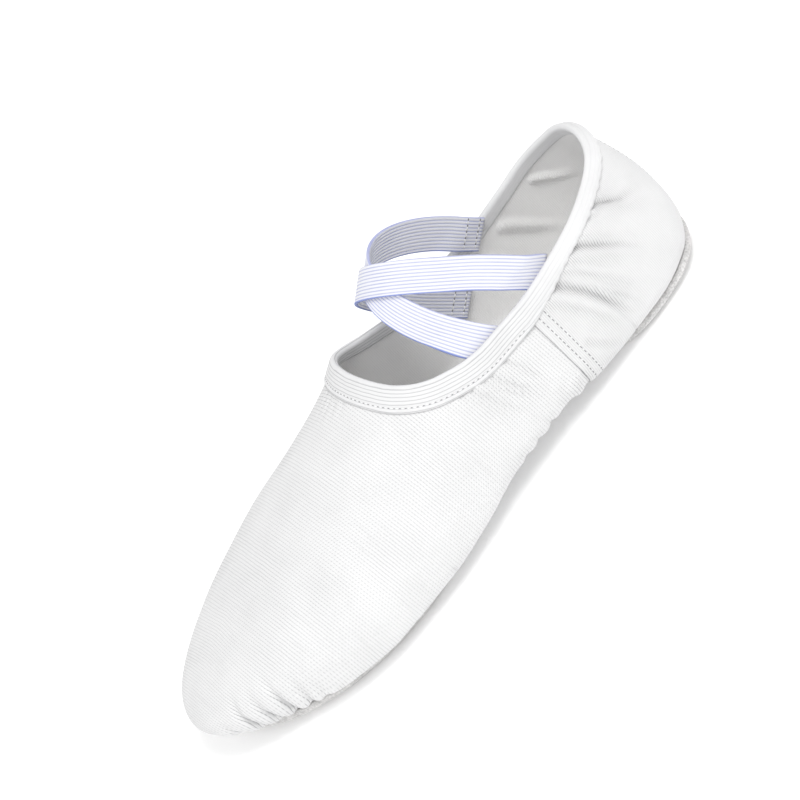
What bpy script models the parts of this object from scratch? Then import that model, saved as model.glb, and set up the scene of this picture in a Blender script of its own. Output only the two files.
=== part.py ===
"""Split-sole dance slipper for a left foot, standing on its two sole pads.

Metres. +X points to the toe, +Y to the outer side of the foot, +Z up. The origin is on the floor, under
the middle of the slipper's length. A station is a distance along the foot, measured from the heel's back.
"""

import math
from collections import namedtuple

import bmesh
import bpy
import numpy as np

MM = 0.001

# Driving sizes of the slipper
LENGTH = 240 * MM
BALL_WIDTH = 93 * MM
INSTEP_HEIGHT = 84 * MM
HEEL_HEIGHT = 58 * MM

# Thickness of each material, and the gaps between pieces that are sewn or laid together: the tape's are wider,
# because its flat facets cross those of the canvas
WALL = 1.2 * MM
SEAM_STEP = 0.7 * MM
PAD = 2.2 * MM
INSOLE = 1.6 * MM
TAPE = 0.8 * MM
STRAP = 1.2 * MM
GAP = 0.3 * MM
FACET_ROOM = 0.1 * MM
TAPE_GAP = 0.45 * MM
EDGE_GAP = 0.7 * MM

# Stations of the collar's ends and of the side seam, the length in which the collar turns at the throat, the
# lap's fade to the heel, half its edge and the room that the tape takes to run down it
COLLAR_BACK = 7 * MM
THROAT = 120 * MM
THROAT_BEND = 9 * MM
SIDE_SEAM = 67 * MM
SEAM_FADE = 14 * MM
SEAM_EDGE = 0.35 * MM
LAP_EASE = 2 * MM

# Binding: reach of its outer leg at the throat and at the heel, where that changes, its inner leg and roll
BINDING_FRONT = 8.0 * MM
BINDING_HEEL = 5.5 * MM
BINDING_TAPER = (30 * MM, 75 * MM)
BINDING_INNER = 4.5 * MM
BINDING_ROLL = 1.2 * MM

# Straps: width, stations of their ends at the collar, crossing, crown height, tab inside and upper one's lift
STRAP_WIDTH = 12 * MM
STRAP_REAR_END = 58 * MM
STRAP_FRONT_END = 77 * MM
STRAP_CROSSING = 92 * MM
STRAP_CROWN = 80 * MM
STRAP_TAB = 11 * MM
STRAP_LIFT = STRAP + 0.4 * MM
STRAP_LIFT_DEGREES = (20, 45)
STRAP_SETTLE = 10 * MM

# Sections of the last: station as a share of LENGTH, outer and inner half widths and the ridge's offset as
# shares of BALL_WIDTH, and heights as shares of INSTEP_HEIGHT. arch lifts the inner edge of the underside.
Section = namedtuple(
    "Section",
    "station outer inner ridge floor arch widest top low_power top_power",
)
SECTIONS = [
    Section(0.0000, 0.000, 0.000, 0.000, 0.2900, 0.000, 0.290, 0.290, 2.0, 2.00),
    Section(0.0125, 0.140, 0.140, 0.000, 0.1040, 0.000, 0.286, 0.548, 2.3, 2.00),
    Section(0.0500, 0.242, 0.242, 0.000, 0.0375, 0.000, 0.262, 0.840, 3.0, 2.00),
    Section(0.1250, 0.307, 0.307, 0.000, 0.0298, 0.000, 0.238, 1.020, 4.0, 2.00),
    Section(0.2000, 0.332, 0.308, 0.000, 0.0298, 0.000, 0.238, 1.080, 4.0, 2.00),
    Section(0.3540, 0.384, 0.301, -0.012, 0.0520, 0.095, 0.262, 1.036, 3.0, 2.00),
    Section(0.4375, 0.412, 0.325, -0.022, 0.0500, 0.080, 0.250, 0.910, 3.0, 2.00),
    Section(0.5250, 0.455, 0.390, -0.036, 0.0340, 0.025, 0.226, 0.735, 3.6, 2.00),
    Section(0.6100, 0.488, 0.457, -0.048, 0.0298, 0.000, 0.214, 0.625, 4.2, 2.05),
    Section(0.7170, 0.500, 0.500, -0.055, 0.0298, 0.000, 0.202, 0.532, 4.2, 2.10),
    Section(0.8000, 0.450, 0.478, -0.048, 0.0298, 0.000, 0.196, 0.457, 3.8, 2.15),
    Section(0.8960, 0.305, 0.385, -0.030, 0.0460, 0.000, 0.192, 0.372, 3.2, 2.20),
    Section(0.9580, 0.190, 0.290, -0.012, 0.0840, 0.000, 0.186, 0.302, 2.6, 2.10),
    Section(1.0000, -0.050, 0.050, 0.000, 0.1820, 0.000, 0.182, 0.182, 2.0, 2.00),
]

# Top edge of the canvas between its ends on the ridge: share of the way from COLLAR_BACK to THROAT, and height
# as a share of HEEL_HEIGHT
Rim = namedtuple("Rim", "way height")
RIM = [
    Rim(0.05, 0.980),
    Rim(0.14, 0.925),
    Rim(0.28, 0.865),
    Rim(0.47, 0.825),
    Rim(0.68, 0.840),
    Rim(0.84, 0.920),
    Rim(0.94, 1.025),
]

# Openings under the canvas, the sole pads that close them and the insoles over them: stations of the ends,
# share of the section's half width, and the lengths over which the ends are rounded
Outline = namedtuple("Outline", "start end share start_round end_round")
HEEL_OPENING = Outline(14 * MM, 44 * MM, 0.50, 14 * MM, 14 * MM)
FORE_OPENING = Outline(144 * MM, 214 * MM, 0.55, 22 * MM, 30 * MM)
HEEL_PAD = Outline(3.5 * MM, 56 * MM, 0.82, 15 * MM, 22 * MM)
FORE_PAD = Outline(128 * MM, 230 * MM, 0.80, 34 * MM, 22 * MM)
HEEL_INSOLE = Outline(8 * MM, 53 * MM, 0.74, 16 * MM, 20 * MM)
FORE_INSOLE = Outline(132 * MM, 224 * MM, 0.72, 30 * MM, 22 * MM)

# Mesh steps: up one side of the wall, closer at the top by a power, across and along a pad, along a strap and
# its tabs, and in a walk
WALL_STEPS = 13
WALL_BIAS = 1.3
PAD_STEPS = 8
PAD_ROWS = 16
STRAP_STEPS = 30
STRAP_TAB_STEPS = 3
WALK_STEPS = 4

# Finishes: linear colour and roughness
CANVAS = ((0.87, 0.87, 0.88), 0.92)
BINDING_TAPE = ((0.88, 0.88, 0.90), 0.88)
SUEDE = ((0.70, 0.69, 0.68), 0.95)
LINING = ((0.86, 0.85, 0.83), 0.92)
ELASTIC = ((0.84, 0.85, 0.91), 0.80)


def smooth(low, high, value):
    """Goes from 0 to 1 as the value goes from low to high."""
    t = min(max((value - low) / (high - low), 0.0), 1.0)
    return t * t * (3 - 2 * t)


def row_slope(i, places, values):
    """Slope of a table's curve at one row: none at a high or low row, else a mean of its two spans."""
    if i == 0 or i == len(places) - 1:
        j = min(i, len(places) - 2)
        return (values[j + 1] - values[j]) / (places[j + 1] - places[j])
    before = places[i] - places[i - 1]
    after = places[i + 1] - places[i]
    rise = (values[i] - values[i - 1]) / before
    run = (values[i + 1] - values[i]) / after
    if rise * run <= 0:
        return 0.0
    first = 2 * after + before
    second = after + 2 * before
    return (first + second) / (first / rise + second / run)


def read_table(place, places, values):
    """Value of a table at one place, on a smooth curve that never overshoots the rows."""
    i = int(np.searchsorted(places, place, side="right")) - 1
    i = min(max(i, 0), len(places) - 2)
    span = places[i + 1] - places[i]
    t = (place - places[i]) / span
    return (
        values[i] * (2 * t**3 - 3 * t**2 + 1)
        + row_slope(i, places, values) * span * (t**3 - 2 * t**2 + t)
        + values[i + 1] * (3 * t**2 - 2 * t**3)
        + row_slope(i + 1, places, values) * span * (t**3 - t**2)
    )


def roundness(station):
    """Place along the foot on a scale that opens both rounded ends of the last evenly."""
    share = min(max(station / LENGTH, 0.0), 1.0)
    return math.acos(1 - 2 * share) / math.pi


COLUMN_SIZES = Section(LENGTH, *[BALL_WIDTH] * 3, *[INSTEP_HEIGHT] * 4, 1, 1)
COLUMNS = [[share * size for share in column] for column, size in zip(zip(*SECTIONS), COLUMN_SIZES)]
PLACES = [roundness(station) for station in COLUMNS[0]]


def section(station):
    """The last's section at a station, in metres."""
    place = roundness(station)
    return Section(*[read_table(place, PLACES, column) for column in COLUMNS])


def last_point(station, angle):
    """Point of the canvas's outer face. The angle runs from -90 underneath, over the outer side at 0 and the
    ridge at 90, to the inner side at 180."""
    cut = section(station)
    across = math.cos(math.radians(angle))
    height = math.sin(math.radians(angle))
    power = cut.low_power if height < 0 else cut.top_power
    side = math.copysign(abs(across) ** (2 / power), across)
    rise = abs(height) ** (2 / power)
    y = (cut.outer - cut.inner) / 2 + (cut.outer + cut.inner) / 2 * side
    if height < 0:
        floor = cut.floor + cut.arch * (1 - side) / 2
        z = cut.widest - (cut.widest - floor) * rise
    else:
        y += cut.ridge * rise**2
        z = cut.widest + (cut.top - cut.widest) * rise
    return np.array([station - LENGTH / 2, y, z])


def last_directions(station, angle):
    """Outward normal there, and the surface's run per metre of station and per degree of angle."""
    reach = 0.05 * MM
    turn = 0.05
    end = 0.01 * MM
    low = min(max(station - reach, end), LENGTH - end - reach)
    high = max(min(station + reach, LENGTH - end), end + reach)
    along = (last_point(high, angle) - last_point(low, angle)) / (high - low)
    middle = (low + high) / 2
    around = (last_point(middle, angle + turn) - last_point(middle, angle - turn)) / (2 * turn)
    normal = np.cross(around, along)
    return normal / np.linalg.norm(normal), along, around


def walk(station, angle, heading, distance):
    """Station and angle reached by going a distance over the last's surface in one heading."""
    for _ in range(WALK_STEPS):
        _, along, around = last_directions(station, angle)
        runs = np.stack([along, around], axis=1)
        step = np.linalg.lstsq(runs, heading * distance / WALK_STEPS, rcond=None)[0]
        station += step[0]
        angle += step[1]
    return station, angle


def seam_rise(station):
    """How far the quarter stands proud of the vamp where it laps over it, fading out towards the heel."""
    if station > SIDE_SEAM:
        return 0.0
    return SEAM_STEP * (1 - smooth(0, SEAM_FADE, SIDE_SEAM - station))


def outer_point(station, angle, offset=0.0):
    """Point at an offset outside the canvas's outer face, over the lap of the side seam."""
    normal = last_directions(station, angle)[0]
    return last_point(station, angle) + normal * (seam_rise(station) + offset)


def tape_point(station, angle, offset):
    """Point at an offset outside the canvas that runs down the lap a little in front of its edge."""
    eased_lap = max(seam_rise(station), seam_rise(station - LAP_EASE)) - seam_rise(station)
    return outer_point(station, angle, offset + eased_lap)


def inner_point(station, angle, offset):
    """Point at an offset inside the canvas's inner face."""
    normal = last_directions(station, angle)[0]
    return last_point(station, angle) - normal * (WALL + offset)


RIM_WAYS = [0, *[row.way for row in RIM], 1]
RIM_HEIGHTS = [
    section(COLLAR_BACK).top,
    *[row.height * HEEL_HEIGHT for row in RIM],
    section(THROAT).top,
]


def rim_height(station):
    """Height of the canvas's top edge at a station."""
    way = (station - COLLAR_BACK) / (THROAT - COLLAR_BACK)
    return read_table(way, RIM_WAYS, RIM_HEIGHTS)


def rim_angle(station):
    """Angle above the horizontal at which the canvas ends, 90 where the vamp or the heel is closed."""
    if not COLLAR_BACK < station < THROAT:
        return 90.0
    cut = section(station)
    rise = (rim_height(station) - cut.widest) / (cut.top - cut.widest)
    return math.degrees(math.asin(min(max(rise, 0.0), 1.0) ** (cut.top_power / 2)))


def wall_side(station, height, side):
    """Distance across the foot of the last's outer (1) or inner (-1) side at a height over its widest."""
    cut = section(station)
    rise = min(max((height - cut.widest) / (cut.top - cut.widest), 0.0), 1.0)
    share = (1 - rise**cut.top_power) ** (1 / cut.top_power)
    half = (cut.outer + cut.inner) / 2
    return (cut.outer - cut.inner) / 2 + side * half * share + cut.ridge * rise**2


def outline_half(outline, station):
    """Half width of a pad or an opening at a station, with rounded ends."""
    if not outline.start < station < outline.end:
        return 0.0
    share = outline.share
    if station < outline.start + outline.start_round:
        share *= math.sqrt(1 - (1 - (station - outline.start) / outline.start_round) ** 2)
    if station > outline.end - outline.end_round:
        share *= math.sqrt(1 - (1 - (outline.end - station) / outline.end_round) ** 2)
    cut = section(station)
    return share * (cut.outer + cut.inner) / 2


def opening_angle(station):
    """Angle below the horizontal at which the canvas ends underneath, 90 where it is closed."""
    half = outline_half(HEEL_OPENING, station) + outline_half(FORE_OPENING, station)
    if half == 0:
        return 90.0
    cut = section(station)
    share = 2 * half / (cut.outer + cut.inner)
    return math.degrees(math.acos(share ** (cut.low_power / 2)))


def underside(station, y):
    """Height of the canvas's outer face underneath."""
    cut = section(station)
    side = (2 * y - cut.outer + cut.inner) / (cut.outer + cut.inner)
    side = min(max(side, -1.0), 1.0)
    floor = cut.floor + cut.arch * (1 - side) / 2
    rise = (1 - abs(side) ** cut.low_power) ** (1 / cut.low_power)
    return cut.widest - (cut.widest - floor) * rise


def under_point(station, y, drop):
    """Point at a depth under the canvas's outer face, square to it, and no lower than the floor."""
    reach = 0.05 * MM
    slope_x = (underside(station + reach, y) - underside(station - reach, y)) / (2 * reach)
    slope_y = (underside(station, y + reach) - underside(station, y - reach)) / (2 * reach)
    normal = np.array([-slope_x, -slope_y, 1])
    place = np.array([station - LENGTH / 2, y, underside(station, y)])
    place -= normal / np.linalg.norm(normal) * drop
    place[2] = max(place[2], 0.0)
    return place


def rounded_steps(start, end, count):
    """Values from start to end, close together at both ends."""
    return [start + (end - start) * (1 - math.cos(math.pi * i / count)) / 2 for i in range(count + 1)]


def opening_steps(start, end, count):
    """Values from start to end, close together at the start, where an edge turns across the foot."""
    return [start + (end - start) * (i / count) ** 2 for i in range(count + 1)]


def wall_stations():
    """Stations of the upper's rings, close together where an opening begins or ends."""
    bend_start = THROAT - THROAT_BEND
    bend_end = THROAT + THROAT_BEND
    stretches = [
        rounded_steps(0, COLLAR_BACK, 5),
        opening_steps(COLLAR_BACK, HEEL_OPENING.start, 5),
        rounded_steps(HEEL_OPENING.start, HEEL_OPENING.end, 7),
        rounded_steps(HEEL_OPENING.end, SIDE_SEAM - SEAM_EDGE, 4),
        rounded_steps(SIDE_SEAM + SEAM_EDGE, bend_start, 7),
        opening_steps(THROAT, bend_start, 8)[::-1],
        rounded_steps(THROAT, bend_end, 3),
        rounded_steps(bend_end, FORE_OPENING.start, 2),
        rounded_steps(FORE_OPENING.start, FORE_OPENING.end, 11),
        rounded_steps(FORE_OPENING.end, LENGTH, 7),
    ]
    return sorted(set(sum(stretches, [])))


def material(name, finish):
    """Plain Principled material of one finish."""
    colour, roughness = finish
    made = bpy.data.materials.new(name)
    made.use_nodes = True
    shader = made.node_tree.nodes["Principled BSDF"]
    shader.inputs["Base Color"].default_value = (*colour, 1)
    shader.inputs["Roughness"].default_value = roughness
    shader.inputs["Metallic"].default_value = 0
    return made


def add_object(name, shape, finish, collection):
    """Turns a bmesh into a smooth-shaded object of the slipper."""
    mesh = bpy.data.meshes.new(name)
    shape.to_mesh(mesh)
    shape.free()
    mesh.materials.append(finish)
    mesh.shade_smooth()
    mesh.set_sharp_from_angle(angle=math.radians(40))
    made = bpy.data.objects.new(name, mesh)
    collection.objects.link(made)
    return made


def thicken(target, thickness, offset):
    """Gives an open surface its wall: outside the surface at 1, inside at -1, both at 0."""
    wall = target.modifiers.new("wall", "SOLIDIFY")
    wall.thickness = thickness
    wall.offset = offset
    return wall


def loft(shape, rows):
    """Adds the surface through rows of points, which run between unlike sections."""
    grid = [[shape.verts.new(point) for point in row] for row in rows]
    for near, far in zip(grid, grid[1:]):
        for i in range(len(near) - 1):
            shape.faces.new((near[i], far[i], far[i + 1], near[i + 1]))
    return grid


def weld(shape):
    """Merges the points that rows share, which also closes a surface where its rows end in one point."""
    bmesh.ops.remove_doubles(shape, verts=shape.verts, dist=0.01 * MM)


def build_upper(finish, collection):
    """Hollow canvas upper, open at the collar and over both sole pads, its quarters lapped at the side seams."""
    stations = wall_stations()
    shape = bmesh.new()
    thickness = shape.verts.layers.deform.verify()
    for side in (1, -1):
        rows = []
        for station in stations:
            low = -opening_angle(station)
            high = rim_angle(station)
            ways = [(i / WALL_STEPS) ** WALL_BIAS for i in range(WALL_STEPS + 1)]
            angles = [high - (high - low) * way for way in reversed(ways)]
            if side < 0:
                angles = [180 - angle for angle in reversed(angles)]
            rows.append([outer_point(station, angle) for angle in angles])
        for station, verts in zip(stations, loft(shape, rows)):
            for vert in verts:
                vert[thickness][0] = (WALL + seam_rise(station)) / (WALL + SEAM_STEP)
    weld(shape)
    # The rows run up the outer side, so their faces are turned to point out
    bmesh.ops.reverse_faces(shape, faces=shape.faces)
    made = add_object("upper", shape, finish, collection)
    made.vertex_groups.new(name="thickness")
    wall = thicken(made, WALL + SEAM_STEP, -1)
    wall.vertex_group = "thickness"


def build_pad(name, outline, drop, thickness, finish, collection):
    """Pad over an outline, built up from its lower face, which lies at a depth under the canvas."""
    rows = []
    for station in rounded_steps(outline.start, outline.end, PAD_ROWS):
        cut = section(station)
        middle = (cut.outer - cut.inner) / 2
        half = outline_half(outline, station)
        across = rounded_steps(middle - half, middle + half, PAD_STEPS)
        rows.append([under_point(station, y, drop) for y in across])
    shape = bmesh.new()
    loft(shape, rows)
    weld(shape)
    thicken(add_object(name, shape, finish, collection), thickness, 1)


def rim_loop():
    """Station and angle of the points round the collar: up the outer side to the throat, back on the inner."""
    stations = [station for station in wall_stations() if COLLAR_BACK <= station <= THROAT]
    outer = [(station, rim_angle(station)) for station in stations]
    inner = [(station, 180 - rim_angle(station)) for station in reversed(stations[1:-1])]
    return outer + inner


def binding_profile(station, angle, tangent):
    """Section of the folded tape at one point of the rim, all the way round."""
    normal = last_directions(station, angle)[0]
    into = np.cross(normal, tangent)
    into /= np.linalg.norm(into)
    taper = smooth(*BINDING_TAPER, station)
    reach = BINDING_HEEL + (BINDING_FRONT - BINDING_HEEL) * taper
    middle = walk(station, angle, into, reach / 2)
    end = walk(station, angle, into, reach)
    inner_end = walk(station, angle, into, BINDING_INNER)
    skin = TAPE_GAP + TAPE
    inner_skin = EDGE_GAP + TAPE
    edge_gap = into * EDGE_GAP
    shoulder = into * (EDGE_GAP + BINDING_ROLL * 0.7)
    crown = into * (EDGE_GAP + BINDING_ROLL)
    return [
        tape_point(*end, skin),
        tape_point(*middle, skin),
        tape_point(station, angle, skin),
        tape_point(station, angle, skin * 0.6) - shoulder,
        inner_point(station, angle, -WALL / 2) - crown,
        inner_point(station, angle, inner_skin * 0.6) - shoulder,
        inner_point(station, angle, inner_skin),
        inner_point(*inner_end, inner_skin),
        inner_point(*inner_end, EDGE_GAP),
        inner_point(station, angle, EDGE_GAP) - edge_gap,
        tape_point(station, angle, TAPE_GAP) - edge_gap,
        tape_point(*middle, TAPE_GAP),
        tape_point(*end, TAPE_GAP),
    ]


def build_binding(finish, collection):
    """Tape folded over the collar's edge."""
    loop = rim_loop()
    points = [last_point(*place) for place in loop]
    rows = []
    for i, place in enumerate(loop):
        tangent = points[(i + 1) % len(points)] - points[i - 1]
        profile = binding_profile(*place, tangent)
        rows.append(profile + profile[:1])
    shape = bmesh.new()
    loft(shape, rows + rows[:1])
    weld(shape)
    bmesh.ops.recalc_face_normals(shape, faces=shape.faces)
    add_object("collar_binding", shape, finish, collection)


class StrapBow:
    """Slanted round surface over the instep on which both straps lie."""

    def __init__(self):
        station = (STRAP_REAR_END + STRAP_FRONT_END) / 2
        height = rim_height(station)
        self.room = WALL + EDGE_GAP + TAPE + GAP + STRAP / 2 + FACET_ROOM
        outer = wall_side(station, height, 1) - self.room
        inner = wall_side(station, height, -1) + self.room
        self.foot = np.array([station - LENGTH / 2, (outer + inner) / 2, height])
        self.half = np.array([0, (outer - inner) / 2, 0])
        ridge = section(STRAP_CROSSING).ridge
        crown = np.array([STRAP_CROSSING - LENGTH / 2, (outer + inner) / 2 + ridge, STRAP_CROWN])
        self.rise = crown - self.foot
        axis = np.cross(self.half, self.rise)
        self.axis = axis / np.linalg.norm(axis)

    def point(self, degrees, shift, lift, below):
        """Point on the bow at an angle from the outer end, shifted along its axis, lifted off it, or below its
        end by a length."""
        turn = math.radians(degrees)
        tangent = self.rise * math.cos(turn) - self.half * math.sin(turn)
        normal = np.cross(tangent, self.axis)
        normal /= np.linalg.norm(normal)
        place = self.foot + self.half * math.cos(turn) + self.rise * math.sin(turn)
        place = place + self.axis * shift + normal * lift
        place -= self.rise / np.linalg.norm(self.rise) * below
        side = 1 if degrees < 90 else -1
        station = place[0] + LENGTH / 2
        over_rim = place[2] - rim_height(min(station, THROAT))
        wall = wall_side(station, place[2], side) - side * self.room
        free = smooth(0, STRAP_SETTLE, over_rim)
        place[1] = wall + (place[1] - wall) * free
        return place


def build_strap(name, bow, direction, lift, finish, collection):
    """Flat elastic over the instep, from one rear end to the other side's front end, with a tab inside each."""
    tabs = [STRAP_TAB * (1 - i / STRAP_TAB_STEPS) for i in range(STRAP_TAB_STEPS)]
    path = [(0, below) for below in tabs]
    path += [(180 * i / STRAP_STEPS, 0) for i in range(STRAP_STEPS + 1)]
    path += [(180, below) for below in reversed(tabs)]
    slant = (STRAP_FRONT_END - STRAP_REAR_END) / 2
    rows = []
    for degrees, below in path:
        middle = direction * slant * math.cos(math.radians(degrees)) / bow.axis[0]
        from_end = min(degrees, 180 - degrees)
        raised = lift * smooth(*STRAP_LIFT_DEGREES, from_end)
        edges = (middle - STRAP_WIDTH / 2, middle, middle + STRAP_WIDTH / 2)
        rows.append([bow.point(degrees, shift, raised, below) for shift in edges])
    shape = bmesh.new()
    loft(shape, rows)
    thicken(add_object(name, shape, finish, collection), STRAP, 0)


def main():
    """Builds every piece of the slipper in its own collection."""
    for old in list(bpy.data.objects):
        bpy.data.objects.remove(old)
    collection = bpy.data.collections.new("dance_slipper")
    bpy.context.scene.collection.children.link(collection)
    canvas = material("canvas", CANVAS)
    tape = material("binding_tape", BINDING_TAPE)
    suede = material("suede", SUEDE)
    lining = material("lining", LINING)
    elastic = material("elastic", ELASTIC)
    build_upper(canvas, collection)
    build_binding(tape, collection)
    sole_drop = GAP + FACET_ROOM + PAD
    build_pad("sole_forefoot", FORE_PAD, sole_drop, PAD, suede, collection)
    build_pad("sole_heel", HEEL_PAD, sole_drop, PAD, suede, collection)
    insole_drop = -(WALL + GAP + FACET_ROOM)
    build_pad("insole_forefoot", FORE_INSOLE, insole_drop, INSOLE, lining, collection)
    build_pad("insole_heel", HEEL_INSOLE, insole_drop, INSOLE, lining, collection)
    bow = StrapBow()
    build_strap("strap_over", bow, -1, STRAP_LIFT, elastic, collection)
    build_strap("strap_under", bow, 1, 0.0, elastic, collection)


main()
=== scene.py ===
"""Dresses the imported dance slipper: canvas, folded binding, ribbed elastics, suede pads and stitching.

Metres. +X points to the toe, +Y to the outer side of the foot, +Z up. A station is a distance along the
foot, measured from the heel's back, and a girth is a distance round it, measured from its ridge.
"""

import logging
import math
from dataclasses import dataclass, field
from enum import Enum
from typing import NamedTuple

import bmesh
import bpy
import numpy as np
from mathutils import Matrix, Vector, noise

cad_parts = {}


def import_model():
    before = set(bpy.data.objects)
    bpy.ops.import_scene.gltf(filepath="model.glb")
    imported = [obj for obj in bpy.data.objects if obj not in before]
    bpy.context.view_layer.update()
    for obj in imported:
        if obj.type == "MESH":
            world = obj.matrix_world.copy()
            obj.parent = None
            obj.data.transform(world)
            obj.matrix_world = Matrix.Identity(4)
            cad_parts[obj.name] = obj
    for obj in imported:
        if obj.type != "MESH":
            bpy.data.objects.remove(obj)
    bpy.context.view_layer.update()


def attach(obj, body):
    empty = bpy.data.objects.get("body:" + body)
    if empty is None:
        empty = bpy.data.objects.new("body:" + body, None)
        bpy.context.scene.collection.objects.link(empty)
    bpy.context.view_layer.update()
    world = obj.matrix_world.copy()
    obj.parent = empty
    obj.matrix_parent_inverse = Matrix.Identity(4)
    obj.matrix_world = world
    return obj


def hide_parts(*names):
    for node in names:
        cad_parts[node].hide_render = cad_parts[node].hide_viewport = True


MM = 0.001
LOG = logging.getLogger("slipper")
Colour = tuple[float, float, float]

# Least width that is divided by, and distance within which points are welded.
LEAST = 0.01 * MM
WELD = 0.004 * MM


class Side(Enum):
    """Side of the foot on which a place lies."""

    OUTER = 1
    INNER = -1

    def turned(self, angle: np.ndarray) -> np.ndarray:
        """Angle round the last of a place at this angle above or below the side's widest line."""
        return angle if self is Side.OUTER else 180 - angle


class Section(NamedTuple):
    """Section of the last, as shares of its length, ball width and instep height."""

    station: float
    outer: float
    inner: float
    ridge: float
    floor: float
    arch: float
    widest: float
    top: float
    low_power: float
    top_power: float


SECTIONS = [
    Section(0.0000, 0.000, 0.000, 0.000, 0.2900, 0.000, 0.290, 0.290, 2.0, 2.00),
    Section(0.0125, 0.140, 0.140, 0.000, 0.1040, 0.000, 0.286, 0.548, 2.3, 2.00),
    Section(0.0500, 0.242, 0.242, 0.000, 0.0375, 0.000, 0.262, 0.840, 3.0, 2.00),
    Section(0.1250, 0.307, 0.307, 0.000, 0.0298, 0.000, 0.238, 1.020, 4.0, 2.00),
    Section(0.2000, 0.332, 0.308, 0.000, 0.0298, 0.000, 0.238, 1.080, 4.0, 2.00),
    Section(0.3540, 0.384, 0.301, -0.012, 0.0520, 0.095, 0.262, 1.036, 3.0, 2.00),
    Section(0.4375, 0.412, 0.325, -0.022, 0.0500, 0.080, 0.250, 0.910, 3.0, 2.00),
    Section(0.5250, 0.455, 0.390, -0.036, 0.0340, 0.025, 0.226, 0.735, 3.6, 2.00),
    Section(0.6100, 0.488, 0.457, -0.048, 0.0298, 0.000, 0.214, 0.625, 4.2, 2.05),
    Section(0.7170, 0.500, 0.500, -0.055, 0.0298, 0.000, 0.202, 0.532, 4.2, 2.10),
    Section(0.8000, 0.450, 0.478, -0.048, 0.0298, 0.000, 0.196, 0.457, 3.8, 2.15),
    Section(0.8960, 0.305, 0.385, -0.030, 0.0460, 0.000, 0.192, 0.372, 3.2, 2.20),
    Section(0.9580, 0.190, 0.290, -0.012, 0.0840, 0.000, 0.186, 0.302, 2.6, 2.10),
    Section(1.0000, -0.050, 0.050, 0.000, 0.1820, 0.000, 0.182, 0.182, 2.0, 2.00),
]


class Rim(NamedTuple):
    """Canvas edge at a share of the way from the collar's back to the throat, in heel heights."""

    way: float
    height: float


RIM = [
    Rim(0.05, 0.980),
    Rim(0.14, 0.925),
    Rim(0.28, 0.865),
    Rim(0.47, 0.825),
    Rim(0.68, 0.840),
    Rim(0.84, 0.920),
    Rim(0.94, 1.025),
]


class Outline(NamedTuple):
    """Pad or opening: end stations, share of the foot's half width, and lengths of its rounded ends."""

    start: float
    end: float
    share: float
    start_round: float
    end_round: float


HEEL_OPENING = Outline(14 * MM, 44 * MM, 0.50, 14 * MM, 14 * MM)
FORE_OPENING = Outline(144 * MM, 214 * MM, 0.55, 22 * MM, 30 * MM)


def smooth(low: float, high: float, value: np.ndarray) -> np.ndarray:
    """Goes from 0 to 1 as the value goes from low to high.

    Args:
        low: Value at which the result starts to rise.
        high: Value at which it reaches 1.
        value: Values to read.

    Returns:
        Eased shares, of the shape of value.
    """
    t = np.clip((value - low) / (high - low), 0.0, 1.0)
    return t * t * (3 - 2 * t)


def eased(count: int) -> np.ndarray:
    """Shares from 0 to 1, closer together at both ends."""
    return (1 - np.cos(np.linspace(0, math.pi, count))) / 2


def wave(run: np.ndarray, pitch: float, phase: float = 0.0) -> np.ndarray:
    """Wave of a pitch along a running length."""
    return np.sin(run * 2 * math.pi / pitch + phase)


def running_length(points: np.ndarray) -> np.ndarray:
    """Length along a row of points up to each of them."""
    steps = np.linalg.norm(np.diff(points, axis=0), axis=1)
    return np.concatenate([[0.0], np.cumsum(steps)])


class Curve:
    """Smooth curve through the rows of a table that never overshoots them."""

    def __init__(self, places: np.ndarray, values: np.ndarray) -> None:
        """Works out the slope at each row.

        Args:
            places: Rising places of the rows.
            values: Value of each row.
        """
        self.places = np.asarray(places, float)
        self.values = np.asarray(values, float)
        span = np.diff(self.places)
        rise = np.diff(self.values) / span
        first = 2 * span[1:] + span[:-1]
        second = span[1:] + 2 * span[:-1]
        turning = rise[:-1] * rise[1:] <= 0
        safe = np.where(rise == 0, 1.0, rise)
        mean = (first + second) / (first / safe[:-1] + second / safe[1:])
        self.slopes = np.concatenate([rise[:1], np.where(turning, 0.0, mean), rise[-1:]])

    def at(self, place: np.ndarray) -> np.ndarray:
        """Values of the curve.

        Args:
            place: Places to read.

        Returns:
            Values there, of the shape of place.
        """
        i = np.searchsorted(self.places, place, side="right") - 1
        i = np.clip(i, 0, len(self.places) - 2)
        span = self.places[i + 1] - self.places[i]
        t = (place - self.places[i]) / span
        return (
            self.values[i] * (2 * t**3 - 3 * t**2 + 1)
            + self.slopes[i] * span * (t**3 - 2 * t**2 + t)
            + self.values[i + 1] * (3 * t**2 - 2 * t**3)
            + self.slopes[i + 1] * span * (t**3 - t**2)
        )


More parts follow.
